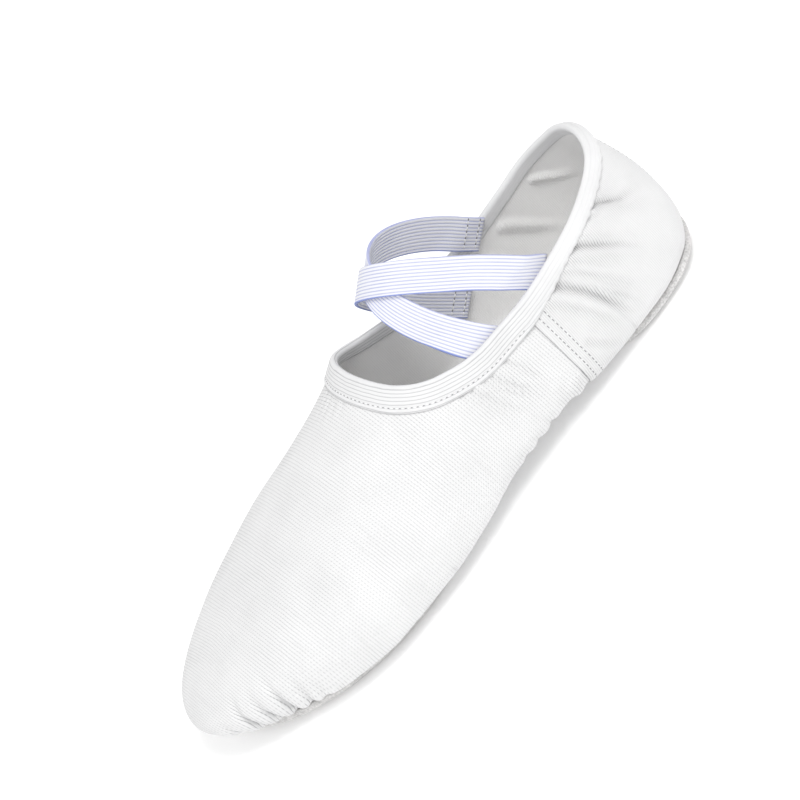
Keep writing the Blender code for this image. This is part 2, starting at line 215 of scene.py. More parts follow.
@dataclass
class Last:
    """Form that the canvas is shaped on, from the same sizes as the solids."""

    length: float = 240 * MM
    ball_width: float = 93 * MM
    instep_height: float = 84 * MM
    heel_height: float = 58 * MM
    wall: float = 1.2 * MM
    collar_back: float = 7 * MM
    throat: float = 120 * MM
    side_seam: float = 67 * MM
    seam_step: float = 0.7 * MM
    seam_fade: float = 14 * MM
    probe: float = 0.05 * MM
    probe_degrees: float = 0.05
    walk_steps: int = 4
    ring_samples: int = 240
    girth_samples: int = 400

    def __post_init__(self) -> None:
        """Makes the curves of the sections and of the rim."""
        sizes = [self.length] + [self.ball_width] * 3 + [self.instep_height] * 4 + [1, 1]
        columns = [np.array(column) * size for column, size in zip(zip(*SECTIONS), sizes)]
        places = self.roundness(columns[0])
        self.columns = [Curve(places, column) for column in columns]
        ends = self.section(np.array([self.collar_back, self.throat])).top
        heights = [ends[0], *[row.height * self.heel_height for row in RIM], ends[1]]
        self.rim = Curve([0, *[row.way for row in RIM], 1], heights)

    def roundness(self, station: np.ndarray) -> np.ndarray:
        """Place along the foot on a scale that opens both rounded ends evenly."""
        return np.arccos(1 - 2 * np.clip(station / self.length, 0, 1)) / math.pi

    def section(self, station: np.ndarray) -> Section:
        """Sections at some stations, in metres."""
        place = self.roundness(station)
        return Section(*[curve.at(place) for curve in self.columns])

    def point(self, station: np.ndarray, angle: np.ndarray) -> np.ndarray:
        """Points of the canvas's outer face.

        Args:
            station: Stations of the points.
            angle: Degrees from -90 underneath, over the outer side at 0 and the ridge at 90, to 180.

        Returns:
            Points, with one more axis than the stations.
        """
        station, angle = np.broadcast_arrays(station, angle)
        cut = self.section(station)
        across = np.cos(np.radians(angle))
        height = np.sin(np.radians(angle))
        low = height < 0
        power = np.where(low, cut.low_power, cut.top_power)
        side = np.copysign(np.abs(across) ** (2 / power), across)
        rise = np.abs(height) ** (2 / power)
        y = (cut.outer - cut.inner) / 2 + (cut.outer + cut.inner) / 2 * side
        y = y + np.where(low, 0.0, cut.ridge * rise**2)
        floor = cut.floor + cut.arch * (1 - side) / 2
        end = np.where(low, floor, cut.top)
        z = cut.widest + (end - cut.widest) * rise
        return np.stack([station - self.length / 2, y, z], axis=-1)

    def directions(self, station: np.ndarray, angle: np.ndarray) -> tuple[np.ndarray, ...]:
        """Directions of the surface.

        Args:
            station: Stations of the places.
            angle: Their angles round the last.

        Returns:
            Outward normals, and the surface's runs per metre of station and per degree of angle.
        """
        reach = self.probe
        turn = self.probe_degrees
        station, angle = np.broadcast_arrays(station, angle)
        low = np.clip(station - reach, LEAST, self.length - LEAST - reach)
        high = np.clip(station + reach, LEAST + reach, self.length - LEAST)
        along = (self.point(high, angle) - self.point(low, angle)) / (high - low)[..., None]
        middle = (low + high) / 2
        around = (self.point(middle, angle + turn) - self.point(middle, angle - turn)) / (2 * turn)
        normal = np.cross(around, along)
        return normal / np.linalg.norm(normal, axis=-1, keepdims=True), along, around

    def face(self, station: np.ndarray, angle: np.ndarray) -> tuple[np.ndarray, np.ndarray]:
        """Points of the canvas's outer face and the outward normals there."""
        return self.point(station, angle), self.directions(station, angle)[0]

    def walk(
        self, station: np.ndarray, angle: np.ndarray, heading: np.ndarray, distance: np.ndarray
    ) -> tuple[np.ndarray, np.ndarray]:
        """Goes over the surface from some places.

        Args:
            station: Stations of the places.
            angle: Their angles round the last.
            heading: Direction to go in from each.
            distance: How far to go from each.

        Returns:
            Stations and angles that are reached.
        """
        goal = heading * (distance / self.walk_steps)[..., None]
        for _ in range(self.walk_steps):
            _, along, around = self.directions(station, angle)
            aa = (along * along).sum(-1)
            bb = (around * around).sum(-1)
            ab = (along * around).sum(-1)
            ga = (goal * along).sum(-1)
            gb = (goal * around).sum(-1)
            whole = aa * bb - ab * ab
            station = station + (ga * bb - gb * ab) / whole
            angle = angle + (gb * aa - ga * ab) / whole
        return station, angle

    def rim_height(self, station: np.ndarray) -> np.ndarray:
        """Height of the canvas's top edge."""
        return self.rim.at((station - self.collar_back) / (self.throat - self.collar_back))

    def rim_angle(self, station: np.ndarray) -> np.ndarray:
        """Angle at which the canvas ends above.

        Args:
            station: Stations to read.

        Returns:
            Degrees above the horizontal, 90 where the canvas is closed.
        """
        cut = self.section(station)
        rise = np.clip((self.rim_height(station) - cut.widest) / (cut.top - cut.widest), 0, 1)
        angle = np.degrees(np.arcsin(rise ** (cut.top_power / 2)))
        is_open = (station > self.collar_back) & (station < self.throat)
        return np.where(is_open, angle, 90.0)

    def wall_side(self, station: np.ndarray, height: np.ndarray, side: np.ndarray) -> np.ndarray:
        """Distance across the foot of one of its sides, above its widest line.

        Args:
            station: Stations to read.
            height: Heights to read.
            side: 1 for the outer side, -1 for the inner one.

        Returns:
            Distances, of the shape of height.
        """
        cut = self.section(station)
        rise = np.clip((height - cut.widest) / (cut.top - cut.widest), 0, 1)
        share = (1 - rise**cut.top_power) ** (1 / cut.top_power)
        half = (cut.outer + cut.inner) / 2
        return (cut.outer - cut.inner) / 2 + side * half * share + cut.ridge * rise**2

    def middle(self, station: np.ndarray) -> np.ndarray:
        """Distance across the foot of the middle of the sections."""
        cut = self.section(station)
        return (cut.outer - cut.inner) / 2

    def outline_half(self, outline: Outline, station: np.ndarray) -> np.ndarray:
        """Half width of a pad or an opening.

        Args:
            outline: The pad or opening.
            station: Stations to read.

        Returns:
            Half widths, running out to 0 at the rounded ends.
        """
        begin = np.clip(1 - (station - outline.start) / outline.start_round, 0, 1)
        finish = np.clip(1 - (outline.end - station) / outline.end_round, 0, 1)
        cut = self.section(station)
        share = outline.share * np.sqrt(1 - begin**2) * np.sqrt(1 - finish**2)
        return share * (cut.outer + cut.inner) / 2

    def opening_angle(self, station: np.ndarray) -> np.ndarray:
        """Angle at which the canvas ends underneath.

        Args:
            station: Stations to read.

        Returns:
            Degrees below the horizontal, 90 where the canvas is closed.
        """
        half = self.outline_half(HEEL_OPENING, station) + self.outline_half(FORE_OPENING, station)
        cut = self.section(station)
        whole = np.maximum(cut.outer + cut.inner, LEAST)
        return np.degrees(np.arccos((2 * half / whole) ** (cut.low_power / 2)))

    def underside(self, station: np.ndarray, y: np.ndarray) -> np.ndarray:
        """Height of the canvas's outer face underneath.

        Args:
            station: Stations to read.
            y: Distances across the foot to read.

        Returns:
            Heights, of the shape of y.
        """
        cut = self.section(station)
        whole = np.maximum(cut.outer + cut.inner, LEAST)
        side = np.clip((2 * y - cut.outer + cut.inner) / whole, -1, 1)
        floor = cut.floor + cut.arch * (1 - side) / 2
        rise = (1 - np.abs(side) ** cut.low_power) ** (1 / cut.low_power)
        return cut.widest - (cut.widest - floor) * rise

    def under_point(self, station: np.ndarray, y: np.ndarray, drop: np.ndarray) -> np.ndarray:
        """Points at a depth under the canvas's outer face, square to it, and no lower than the floor.

        Args:
            station: Stations of the points.
            y: Their distances across the foot.
            drop: Depth under the face.

        Returns:
            Points, with one more axis than the stations.
        """
        reach = self.probe
        ahead = self.underside(station + reach, y) - self.underside(station - reach, y)
        across = self.underside(station, y + reach) - self.underside(station, y - reach)
        slope = np.stack([-ahead, -across, np.full_like(ahead, 2 * reach)], axis=-1)
        slope /= np.linalg.norm(slope, axis=-1, keepdims=True)
        place = np.stack([station - self.length / 2, y, self.underside(station, y)], axis=-1)
        place = place - slope * np.asarray(drop)[..., None]
        place[..., 2] = np.maximum(place[..., 2], 0.0)
        return place

    def seam_rise(self, station: np.ndarray) -> np.ndarray:
        """How far the quarter stands proud of the vamp where it laps over it."""
        rise = self.seam_step * (1 - smooth(0, self.seam_fade, self.side_seam - station))
        return np.where(station > self.side_seam, 0.0, rise)

    def ring(self, stations: np.ndarray, side: Side, ways: np.ndarray) -> tuple[np.ndarray, np.ndarray]:
        """Places spread evenly down one side of the canvas, from its top edge to its lower one.

        Args:
            stations: Station of each ring.
            side: Side of the foot.
            ways: Shares of the way down.

        Returns:
            Angles and girths, a row for each ring.
        """
        low = -self.opening_angle(stations)
        high = self.rim_angle(stations)
        angle = 90 + (low - 90)[:, None] * np.linspace(0, 1, self.ring_samples)
        points = self.point(stations[:, None], side.turned(angle))
        steps = np.linalg.norm(np.diff(points, axis=1), axis=2)
        girth = np.concatenate([np.zeros((len(stations), 1)), np.cumsum(steps, axis=1)], axis=1)
        angles = []
        girths = []
        for i in range(len(stations)):
            start = np.interp(90 - high[i], 90 - angle[i], girth[i])
            wanted = start + (girth[i, -1] - start) * ways
            girths.append(wanted)
            angles.append(np.interp(wanted, girth[i], angle[i]))
        return np.array(angles), np.array(girths)

    def girth_at(self, station: float, height: float, side: Side) -> float:
        """Girth of one place of the foot.

        Args:
            station: Station of the place.
            height: Its height.
            side: Its side of the foot.

        Returns:
            The girth.
        """
        angle = np.linspace(90, -90, self.girth_samples)
        points = self.point(np.array(station), side.turned(angle))
        return float(np.interp(-height, -points[:, 2], running_length(points)))

    def rows(self, start: float, end: float, step: float) -> np.ndarray:
        """Spreads rows along the foot, closer at its rounded ends.

        Args:
            start: First station.
            end: Last station.
            step: Mean distance between rows.

        Returns:
            Stations of the rows.
        """
        places = self.roundness(np.array([start, end]))
        count = int(np.ptp(places) * math.pi / 2 * self.length / step)
        stations = self.length * (1 - np.cos(math.pi * np.linspace(*places, count + 1))) / 2
        stations[0] = start
        stations[-1] = end
        return stations


class Patch(NamedTuple):
    """Rows of points of a sheet.

    Attributes:
        points: The points.
        flat: Their places on the flat cloth.
        outward: Way that the patch's middle faces.
        fold: How much the weave is drawn together (above 0) or stretched smooth (below 0) at each; above 1,
            the excess is painted shade.
    """

    points: np.ndarray
    flat: np.ndarray
    outward: np.ndarray
    fold: np.ndarray


def sheet_object(name: str, patches: list[Patch], finish: bpy.types.Material) -> bpy.types.Object:
    """Makes a sheet of one or more patches, welded where they meet, with its flat places as its UV map.

    Args:
        name: Name of the piece.
        patches: Patches that it is made of.
        finish: Material of the sheet.

    Returns:
        The piece, linked to the scene.
    """
    shape = bmesh.new()
    flat_layer = shape.loops.layers.uv.new("flat")
    fold_layer = shape.verts.layers.float.new("fold")
    for patch in patches:
        rows, columns = patch.points.shape[:2]
        made = bmesh.ops.create_grid(shape, x_segments=rows - 1, y_segments=columns - 1, size=0.5)
        places = {}
        for vert in made["verts"]:
            i = round((vert.co.x + 0.5) * (rows - 1))
            j = round((vert.co.y + 0.5) * (columns - 1))
            places[vert] = (i, j)
        for vert, place in places.items():
            vert.co = patch.points[place]
            vert[fold_layer] = patch.fold[place]
        faces = {face for vert in made["verts"] for face in vert.link_faces}
        middle = (rows // 2, columns // 2)
        for face in faces:
            face.smooth = True
            for loop in face.loops:
                loop[flat_layer].uv = patch.flat[places[loop.vert]]
        centre = next(vert for vert, place in places.items() if place == middle)
        for face in centre.link_faces:
            face.normal_update()
        if centre.link_faces[0].normal.dot(Vector(patch.outward)) < 0:
            bmesh.ops.reverse_faces(shape, faces=list(faces))
    bmesh.ops.remove_doubles(shape, verts=shape.verts, dist=WELD)
    return mesh_object(name, shape, finish)


def mesh_object(name: str, shape: bmesh.types.BMesh, finish: bpy.types.Material) -> bpy.types.Object:
    """Turns a bmesh into a piece of the scene.

    Args:
        name: Name of the piece.
        shape: Its mesh, which is freed.
        finish: Its material.

    Returns:
        The piece, linked to the scene.
    """
    mesh = bpy.data.meshes.new(name)
    shape.to_mesh(mesh)
    shape.free()
    mesh.materials.append(finish)
    piece = bpy.data.objects.new(name, mesh)
    bpy.context.scene.collection.objects.link(piece)
    return piece


def thicken(
    piece: bpy.types.Object, thickness: float, offset: float = -1.0
) -> bpy.types.SolidifyModifier:
    """Gives a sheet its thickness.

    Args:
        piece: The sheet.
        thickness: Its thickness.
        offset: -1 for a wall inside the sheet, 0 for one on both sides of it.

    Returns:
        The modifier.
    """
    wall = piece.modifiers.new("thickness", "SOLIDIFY")
    wall.thickness = thickness
    wall.offset = offset
    return wall


def seat(piece: bpy.types.Object, slot: str, *nodes: str) -> None:
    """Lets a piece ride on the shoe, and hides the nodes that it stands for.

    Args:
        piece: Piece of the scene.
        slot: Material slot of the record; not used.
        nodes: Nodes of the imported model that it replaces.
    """
    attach(piece, "root")
    if nodes:
        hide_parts(*nodes)
    LOG.info("%s: %d faces", piece.name, len(piece.data.polygons))


class Graph:
    """Short way to add and link the nodes of one shader tree."""

    def __init__(self, tree: bpy.types.NodeTree) -> None:
        """Works on a node tree."""
        self.tree = tree

    def put(self, socket: bpy.types.NodeSocket, value: object) -> None:
        """Links a socket to another one, or sets its value.

        Args:
            socket: Socket to feed.
            value: Socket to link it to, or its value.
        """
        if isinstance(value, bpy.types.NodeSocket):
            self.tree.links.new(value, socket)
        else:
            socket.default_value = value

    def add(self, kind: str, inputs: dict | None = None, **settings: object) -> bpy.types.Node:
        """Adds a node.

        Args:
            kind: Blender's name of the node's type.
            inputs: Values or sockets for its inputs, by name or number.
            settings: Values for its properties.

        Returns:
            The node.
        """
        node = self.tree.nodes.new(kind)
        for name, value in settings.items():
            setattr(node, name, value)
        for name, value in (inputs or {}).items():
            self.put(node.inputs[name], value)
        return node

    def math(self, operation: str, *values: object) -> bpy.types.NodeSocket:
        """Result of a Math node on some values or sockets."""
        node = self.add("ShaderNodeMath", dict(enumerate(values)), operation=operation)
        return node.outputs[0]

    def noise(
        self, vector: bpy.types.NodeSocket, scale: object, detail: float, roughness: float = 0.55
    ) -> bpy.types.NodeSocket:
        """Adds even noise.

        Args:
            vector: Places to read it at.
            scale: Its scale, per metre.
            detail: Number of its finer layers.
            roughness: Strength of each finer layer.

        Returns:
            Its value, from 0 to 1.
        """
        inputs = {"Vector": vector, "Scale": scale, "Detail": detail, "Roughness": roughness}
        return self.add("ShaderNodeTexNoise", inputs).outputs[0]

    def clamp(
        self, value: bpy.types.NodeSocket, low: float = 0.0, high: float = 1.0
    ) -> bpy.types.NodeSocket:
        """Value held between two limits."""
        return self.add("ShaderNodeClamp", {"Value": value, "Min": low, "Max": high}).outputs[0]

    def bump(self, strength: float, depth: float, height: bpy.types.NodeSocket) -> bpy.types.NodeSocket:
        """Normal of a relief of this strength, depth and height."""
        inputs = {"Strength": strength, "Distance": depth, "Height": height}
        return self.add("ShaderNodeBump", inputs).outputs[0]

    def mix(self, factor: object, first: object, second: object) -> bpy.types.NodeSocket:
        """Mixes two colours.

        Args:
            factor: Share of the second colour.
            first: First colour.
            second: Second colour.

        Returns:
            The colour between them.
        """
        # The node's colour sockets share their names with its other kinds, so they go by number.
        node = self.add("ShaderNodeMix", data_type="RGBA")
        self.put(node.inputs["Factor"], factor)
        self.put(node.inputs[6], first)
        self.put(node.inputs[7], second)
        return node.outputs[2]


def node_group(name: str, inputs: dict[str, float], outputs: list[str]) -> tuple[bpy.types.NodeTree, Graph]:
    """Starts a shader node group that reads a vector and some values.

    Args:
        name: Name of the group.
        inputs: Its value inputs with their defaults.
        outputs: Its value outputs.

    Returns:
        The group and a graph to fill it.
    """
    tree = bpy.data.node_groups.new(name, "ShaderNodeTree")
    tree.interface.new_socket("Vector", in_out="INPUT", socket_type="NodeSocketVector")
    for socket, default in inputs.items():
        made = tree.interface.new_socket(socket, in_out="INPUT", socket_type="NodeSocketFloat")
        made.default_value = default
    for socket in outputs:
        tree.interface.new_socket(socket, in_out="OUTPUT", socket_type="NodeSocketFloat")
    return tree, Graph(tree)


@dataclass(frozen=True)
class WovenThreads:
    """Shader effect of woven threads: ribs of one pitch, crossed by picks that step from rib to rib.

    Attributes:
        waver_scale: Noise scale, per metre, by which the threads waver.
        zone_scale: Noise scale of the zones that are more or less ribbed.
        zone_spread: How much these zones differ.
        zone_limits: Least and most share of the ribs in the relief.
        rib_power: Roundness of a rib, less for a flatter one.
        gap_edge: How soon a gap ends beside a rib.
        gap_soft: Softness of that end.
        break_fall: How much less the gaps are broken where the cloth is ribbed.
        break_most: How much they are broken where it has no ribs.
        stray_scale: Noise scale of the thick stray threads.
        stray_stretch: How they are drawn out along the ribs.
        stray_gain: Sharpness of their edges.
        stray_cut: Level under which there are none.
    """

    waver_scale: float = 160.0
    zone_scale: float = 45.0
    zone_spread: float = 0.9
    zone_limits: tuple[float, float] = (0.3, 0.95)
    rib_power: float = 0.7
    gap_edge: float = 1.6
    gap_soft: float = 0.25
    break_fall: float = -1.6
    break_most: float = 1.55
    stray_scale: float = 1300.0
    stray_stretch: tuple[float, float, float] = (1.0, 0.03, 0.0)
    stray_gain: float = 9.0
    stray_cut: float = -5.6

    def group(self) -> bpy.types.NodeTree:
        """Makes the node group.

        Returns:
            The group, with the threads' height, the gaps between them and the thick stray threads.
        """
        inputs = {"Rib": 1.0, "Pick": 1.0, "Slant": 0.0, "Waver": 0.1, "Ribbed": 0.5}
        tree, graph = node_group("woven_threads", inputs, ["Height", "Gap", "Slub"])
        source = graph.add("NodeGroupInput").outputs
        wander = graph.math("SUBTRACT", graph.noise(source["Vector"], self.waver_scale, 2.0), 0.5)
        parts = graph.add("ShaderNodeSeparateXYZ", {0: source["Vector"]}).outputs
        slant = graph.math("MULTIPLY", parts["Y"], source["Slant"])
        along = graph.math("DIVIDE", graph.math("ADD", parts["X"], slant), source["Rib"])
        along = graph.math("MULTIPLY_ADD", wander, source["Waver"], along)
        across = graph.math("DIVIDE", parts["Y"], source["Pick"])
        across = graph.math("MULTIPLY_ADD", wander, source["Waver"], across)
        swing = graph.math("SINE", graph.math("MULTIPLY", along, math.pi))
        brick = graph.math("COSINE", graph.math("MULTIPLY", along, math.pi))
        step = graph.math("SINE", graph.math("MULTIPLY", across, 2 * math.pi))
        rib = graph.math("POWER", graph.math("ABSOLUTE", swing), self.rib_power)
        knuckle = graph.math("MULTIPLY_ADD", graph.math("MULTIPLY", swing, step), 0.5, 0.5)
        drift = graph.math("SUBTRACT", graph.noise(source["Vector"], self.zone_scale, 1.0), 0.5)
        zone = graph.math("MULTIPLY_ADD", drift, self.zone_spread, source["Ribbed"])
        zone = graph.clamp(zone, *self.zone_limits)
        plain = graph.math("MULTIPLY", knuckle, graph.math("SUBTRACT", 1.0, zone))
        full = graph.math("SMOOTH_MIN", graph.math("MULTIPLY", rib, self.gap_edge), 1.0, self.gap_soft)
        line = graph.math("SUBTRACT", 1.0, full)
        dash = graph.math("MULTIPLY_ADD", graph.math("MULTIPLY", brick, step), 0.5, -0.5)
        part = graph.clamp(graph.math("MULTIPLY_ADD", zone, self.break_fall, self.break_most))
        stretch = {0: source["Vector"], 1: self.stray_stretch}
        stretched = graph.add("ShaderNodeVectorMath", stretch, operation="MULTIPLY").outputs[0]
        stray = graph.noise(stretched, self.stray_scale, 1.0)
        outputs = {
            "Height": graph.math("MULTIPLY_ADD", rib, zone, plain),
            "Gap": graph.math("MULTIPLY", line, graph.math("MULTIPLY_ADD", dash, part, 1.0)),
            "Slub": graph.clamp(graph.math("MULTIPLY_ADD", stray, self.stray_gain, self.stray_cut)),
        }
        graph.add("NodeGroupOutput", outputs)
        return tree


@dataclass(frozen=True)
class LooseFibres:
    """Shader effect of loose fibres: a fine fuzz over soft clouds."""

    fuzz_share: float = 0.6
    fuzz_detail: float = 5.0
    cloud_share: float = 0.4
    cloud_detail: float = 3.0
    roughness: float = 0.5

    def group(self) -> bpy.types.NodeTree:
        """Makes the node group.

        Returns:
            The group, with the fibres' height and their tone.
        """
        inputs = {"Fineness": 900.0, "Cloud": 60.0}
        tree, graph = node_group("loose_fibres", inputs, ["Height", "Tone"])
        source = graph.add("NodeGroupInput").outputs
        fuzz = graph.noise(source["Vector"], source["Fineness"], self.fuzz_detail, self.roughness)
        cloud = graph.noise(source["Vector"], source["Cloud"], self.cloud_detail, self.roughness)
        soft = graph.math("MULTIPLY", cloud, self.cloud_share)
        height = graph.math("MULTIPLY_ADD", fuzz, self.fuzz_share, soft)
        graph.add("NodeGroupOutput", {"Height": height, "Tone": cloud})
        return tree


class Weaves:
    """Shared shader effects, made once."""

    def __init__(self) -> None:
        """Builds the node groups."""
        self.threads = WovenThreads().group()
        self.fibres = LooseFibres().group()


def principled(
    name: str, roughness: float, sheen: float
) -> tuple[bpy.types.Material, Graph, bpy.types.Node]:
    """Starts a material of a matt fibre.

    Args:
        name: Name of the material.
        roughness: Its roughness.
        sheen: Weight of the soft shine of its fibres.

    Returns:
        The material, a graph on its nodes, and its shader.
    """
    made = bpy.data.materials.new(name)
    made.use_nodes = True
    shader = made.node_tree.nodes["Principled BSDF"]
    values = {"Roughness": roughness, "Sheen Weight": sheen}
    values |= {"Specular IOR Level": 0.25, "Sheen Roughness": 0.6}
    for socket, value in values.items():
        shader.inputs[socket].default_value = value
    return made, Graph(made.node_tree), shader


@dataclass(frozen=True)
class Cloth:
    """Woven cotton.

    Attributes:
        name: Name of the material.
        colour: Colour of the threads.
        shade: Colour between them, painted shade in the gaps.
        rib: Pitch of the ribs.
        pick: Pitch of the picks across them.
        slant: Lean of the ribs.
        depth: Depth of the weave.
        contrast: How dark the painted shade in the gaps is.
        slub: How much the thick stray threads show.
        roughness: Mean roughness.
        gathered: How much stronger the weave and its painted gap shade show where the cloth is gathered.
        ribbed: The ribs' share of the relief.
        waver: How much the threads waver.
        sheen: Weight of the fibres' soft shine.
        clouding: How much the fibres' tone darkens the cloth.
        fuzz: Share of the fibres in the relief.
        uneven: Spread of the roughness.
        slub_sink: How deep the stray threads lie.
        strength: Strength of the relief.
    """

    name: str
    colour: Colour
    shade: Colour
    rib: float
    pick: float
    slant: float = 0.0
    depth: float = 0.15 * MM
    contrast: float = 0.9
    slub: float = 0.0
    roughness: float = 0.9
    gathered: float = 1.0
    ribbed: float = 0.5
    waver: float = 0.35
    sheen: float = 0.15
    clouding: float = 0.3
    fuzz: float = 0.25
    uneven: float = 0.1
    slub_sink: float = 0.3
    strength: float = 0.9

    def material(self, weaves: Weaves) -> bpy.types.Material:
        """Makes the material.

        Args:
            weaves: Shared shader effects.

        Returns:
            The material.
        """
        made, graph, shader = principled(self.name, self.roughness, self.sheen)
        flat = graph.add("ShaderNodeUVMap", uv_map="flat").outputs[0]
        place = graph.add("ShaderNodeTexCoord").outputs["Object"]
        pitches = {"Vector": flat, "Rib": self.rib, "Pick": self.pick, "Slant": self.slant}
        pitches |= {"Waver": self.waver, "Ribbed": self.ribbed}
        threads = graph.add("ShaderNodeGroup", pitches, node_tree=weaves.threads).outputs
        fibres = graph.add("ShaderNodeGroup", {"Vector": place}, node_tree=weaves.fibres).outputs
        fold = graph.add("ShaderNodeAttribute", attribute_name="fold").outputs["Fac"]
        drawn = graph.math("MINIMUM", fold, 1.0)
        relief = graph.math("MULTIPLY_ADD", drawn, self.gathered, 1.0)
        # Whatever of the fold lies above 1 is painted shade, added to the darker tone.
        deep = graph.math("MAXIMUM", graph.math("SUBTRACT", fold, 1.0), 0.0)
        # The gaps between the threads are painted shade, darker where the cloth is gathered; the stray
        # threads darken them too.
        lines = graph.math("MULTIPLY_ADD", threads["Slub"], self.slub, threads["Gap"])
        lines = graph.math("MULTIPLY", graph.math("MULTIPLY", lines, relief), self.contrast)
        tone = graph.math("MULTIPLY_ADD", fibres["Tone"], self.clouding, graph.math("ADD", lines, deep))
        colour = graph.mix(graph.clamp(tone), (*self.colour, 1), (*self.shade, 1))
        graph.put(shader.inputs["Base Color"], colour)
        mean = self.roughness - self.uneven / 2
        rough = graph.math("MULTIPLY_ADD", fibres["Tone"], self.uneven, mean)
        graph.put(shader.inputs["Roughness"], rough)
        raised = graph.math("MULTIPLY", threads["Height"], relief)
        raised = graph.math("MULTIPLY_ADD", threads["Slub"], -self.slub_sink * self.slub, raised)
        height = graph.math("MULTIPLY_ADD", fibres["Height"], self.fuzz, raised)
        graph.put(shader.inputs["Normal"], graph.bump(self.strength, self.depth, height))
        return made


@dataclass(frozen=True)
class Suede:
    """Rough split leather: colours of its nap and of the painted shade in its low places, and the nap's
    form.
    """

    name: str
    colour: Colour
    shade: Colour
    depth: float = 0.35 * MM
    fineness: float = 1400.0
    cloud: float = 220.0
    contrast: float = 3.0
    roughness: float = 0.95
    sheen: float = 0.3
    strength: float = 0.9

    def material(self, weaves: Weaves) -> bpy.types.Material:
        """Makes the material.

        Args:
            weaves: Shared shader effects.

        Returns:
            The material.
        """
        made, graph, shader = principled(self.name, self.roughness, self.sheen)
        place = graph.add("ShaderNodeTexCoord").outputs["Object"]
        scales = {"Vector": place, "Fineness": self.fineness, "Cloud": self.cloud}
        fibres = graph.add("ShaderNodeGroup", scales, node_tree=weaves.fibres).outputs
        # Where the nap lies low it is painted darker, towards the shade colour.
        spread = graph.math("MULTIPLY_ADD", fibres["Height"], self.contrast, (1 - self.contrast) / 2)
        colour = graph.mix(graph.clamp(spread), (*self.shade, 1), (*self.colour, 1))
        graph.put(shader.inputs["Base Color"], colour)
        graph.put(shader.inputs["Normal"], graph.bump(self.strength, self.depth, fibres["Height"]))
        return made


@dataclass(frozen=True)
class Elastic:
    """Ribbed elastic: colours and widths of its ribs, grooves and front edge, and its fine threads."""

    name: str
    colour: Colour
    groove: Colour
    edge: Colour
    pitch: float
    width: float
    edge_width: float = 0.6 * MM
    edge_soft: float = 0.25 * MM
    groove_power: float = 1.5
    wash_scale: float = 90.0
    wash: tuple[float, float] = (0.8, 0.55)
    rib: float = 0.55 * MM
    pick: float = 0.6 * MM
    waver: float = 0.2
    depth: float = 0.06 * MM
    strength: float = 0.5
    roughness: float = 0.78
    sheen: float = 0.2

    def material(self, weaves: Weaves) -> bpy.types.Material:
        """Makes the material.

        Args:
            weaves: Shared shader effects.

        Returns:
            The material.
        """
        made, graph, shader = principled(self.name, self.roughness, self.sheen)
        flat = graph.add("ShaderNodeUVMap", uv_map="flat").outputs[0]
        parts = graph.add("ShaderNodeSeparateXYZ", {0: flat}).outputs
        turns = graph.math("MULTIPLY", parts["Y"], math.pi / self.pitch)
        rib = graph.math("ABSOLUTE", graph.math("SINE", turns))
        line = graph.math("POWER", graph.math("SUBTRACT", 1.0, rib), self.groove_power)
        wash = graph.noise(flat, self.wash_scale, 2.0)
        line = graph.math("MULTIPLY", line, graph.math("MULTIPLY_ADD", wash, *self.wash))
        body = graph.mix(line, (*self.colour, 1), (*self.groove, 1))
        inset = graph.math("SUBTRACT", self.width - self.edge_width, parts["Y"])
        hem = graph.clamp(graph.math("MULTIPLY", inset, -1 / self.edge_soft))
        graph.put(shader.inputs["Base Color"], graph.mix(hem, body, (*self.edge, 1)))
        pitches = {"Vector": flat, "Rib": self.rib, "Pick": self.pick, "Waver": self.waver}
        threads = graph.add("ShaderNodeGroup", pitches, node_tree=weaves.threads).outputs
        graph.put(shader.inputs["Normal"], graph.bump(self.strength, self.depth, threads["Height"]))
        return made


@dataclass(frozen=True)
class Thread:
    """Sewing thread, or the painted shade of a needle hole: colours and form of its fibres."""

    name: str
    colour: Colour
    shade: Colour
    fineness: float = 5000.0
    cloud: float = 1500.0
    depth: float = 0.08 * MM
    strength: float = 0.5
    roughness: float = 0.8
    sheen: float = 0.1

    def material(self, weaves: Weaves) -> bpy.types.Material:
        """Makes the material.

        Args:
            weaves: Shared shader effects.

        Returns:
            The material.
        """
        made, graph, shader = principled(self.name, self.roughness, self.sheen)
        place = graph.add("ShaderNodeTexCoord").outputs["Object"]
        scales = {"Vector": place, "Fineness": self.fineness, "Cloud": self.cloud}
        fibres = graph.add("ShaderNodeGroup", scales, node_tree=weaves.fibres).outputs
        colour = graph.mix(fibres["Tone"], (*self.colour, 1), (*self.shade, 1))
        graph.put(shader.inputs["Base Color"], colour)
        graph.put(shader.inputs["Normal"], graph.bump(self.strength, self.depth, fibres["Height"]))
        return made


CANVAS = Cloth(
    "canvas_weave",
    (0.812, 0.812, 0.814),
    (0.43, 0.43, 0.435),
    rib=1.1 * MM,
    pick=1.25 * MM,
    slant=0.04,
    contrast=0.95,
    slub=0.1,
    ribbed=0.42,
)
QUARTER = Cloth(
    "quarter_weave",
    (0.80, 0.80, 0.802),
    (0.45, 0.45, 0.455),
    rib=0.78 * MM,
    pick=0.9 * MM,
    slant=-0.05,
    depth=0.1 * MM,
    contrast=0.5,
    slub=0.08,
    gathered=2.6,
    ribbed=0.8,
)
TAPE = Cloth(
    "binding_rib",
    (0.80, 0.80, 0.803),
    (0.41, 0.41, 0.42),
    rib=1.25 * MM,
    pick=0.9 * MM,
    depth=0.08 * MM,
    ribbed=1.2,
)
LINING = Cloth(
    "cotton_lining",
    (0.92, 0.915, 0.905),
    (0.78, 0.775, 0.765),
    rib=0.7 * MM,
    pick=0.8 * MM,
    depth=0.08 * MM,
)
SUEDE = Suede("split_suede", (0.84, 0.83, 0.82), (0.46, 0.455, 0.45))
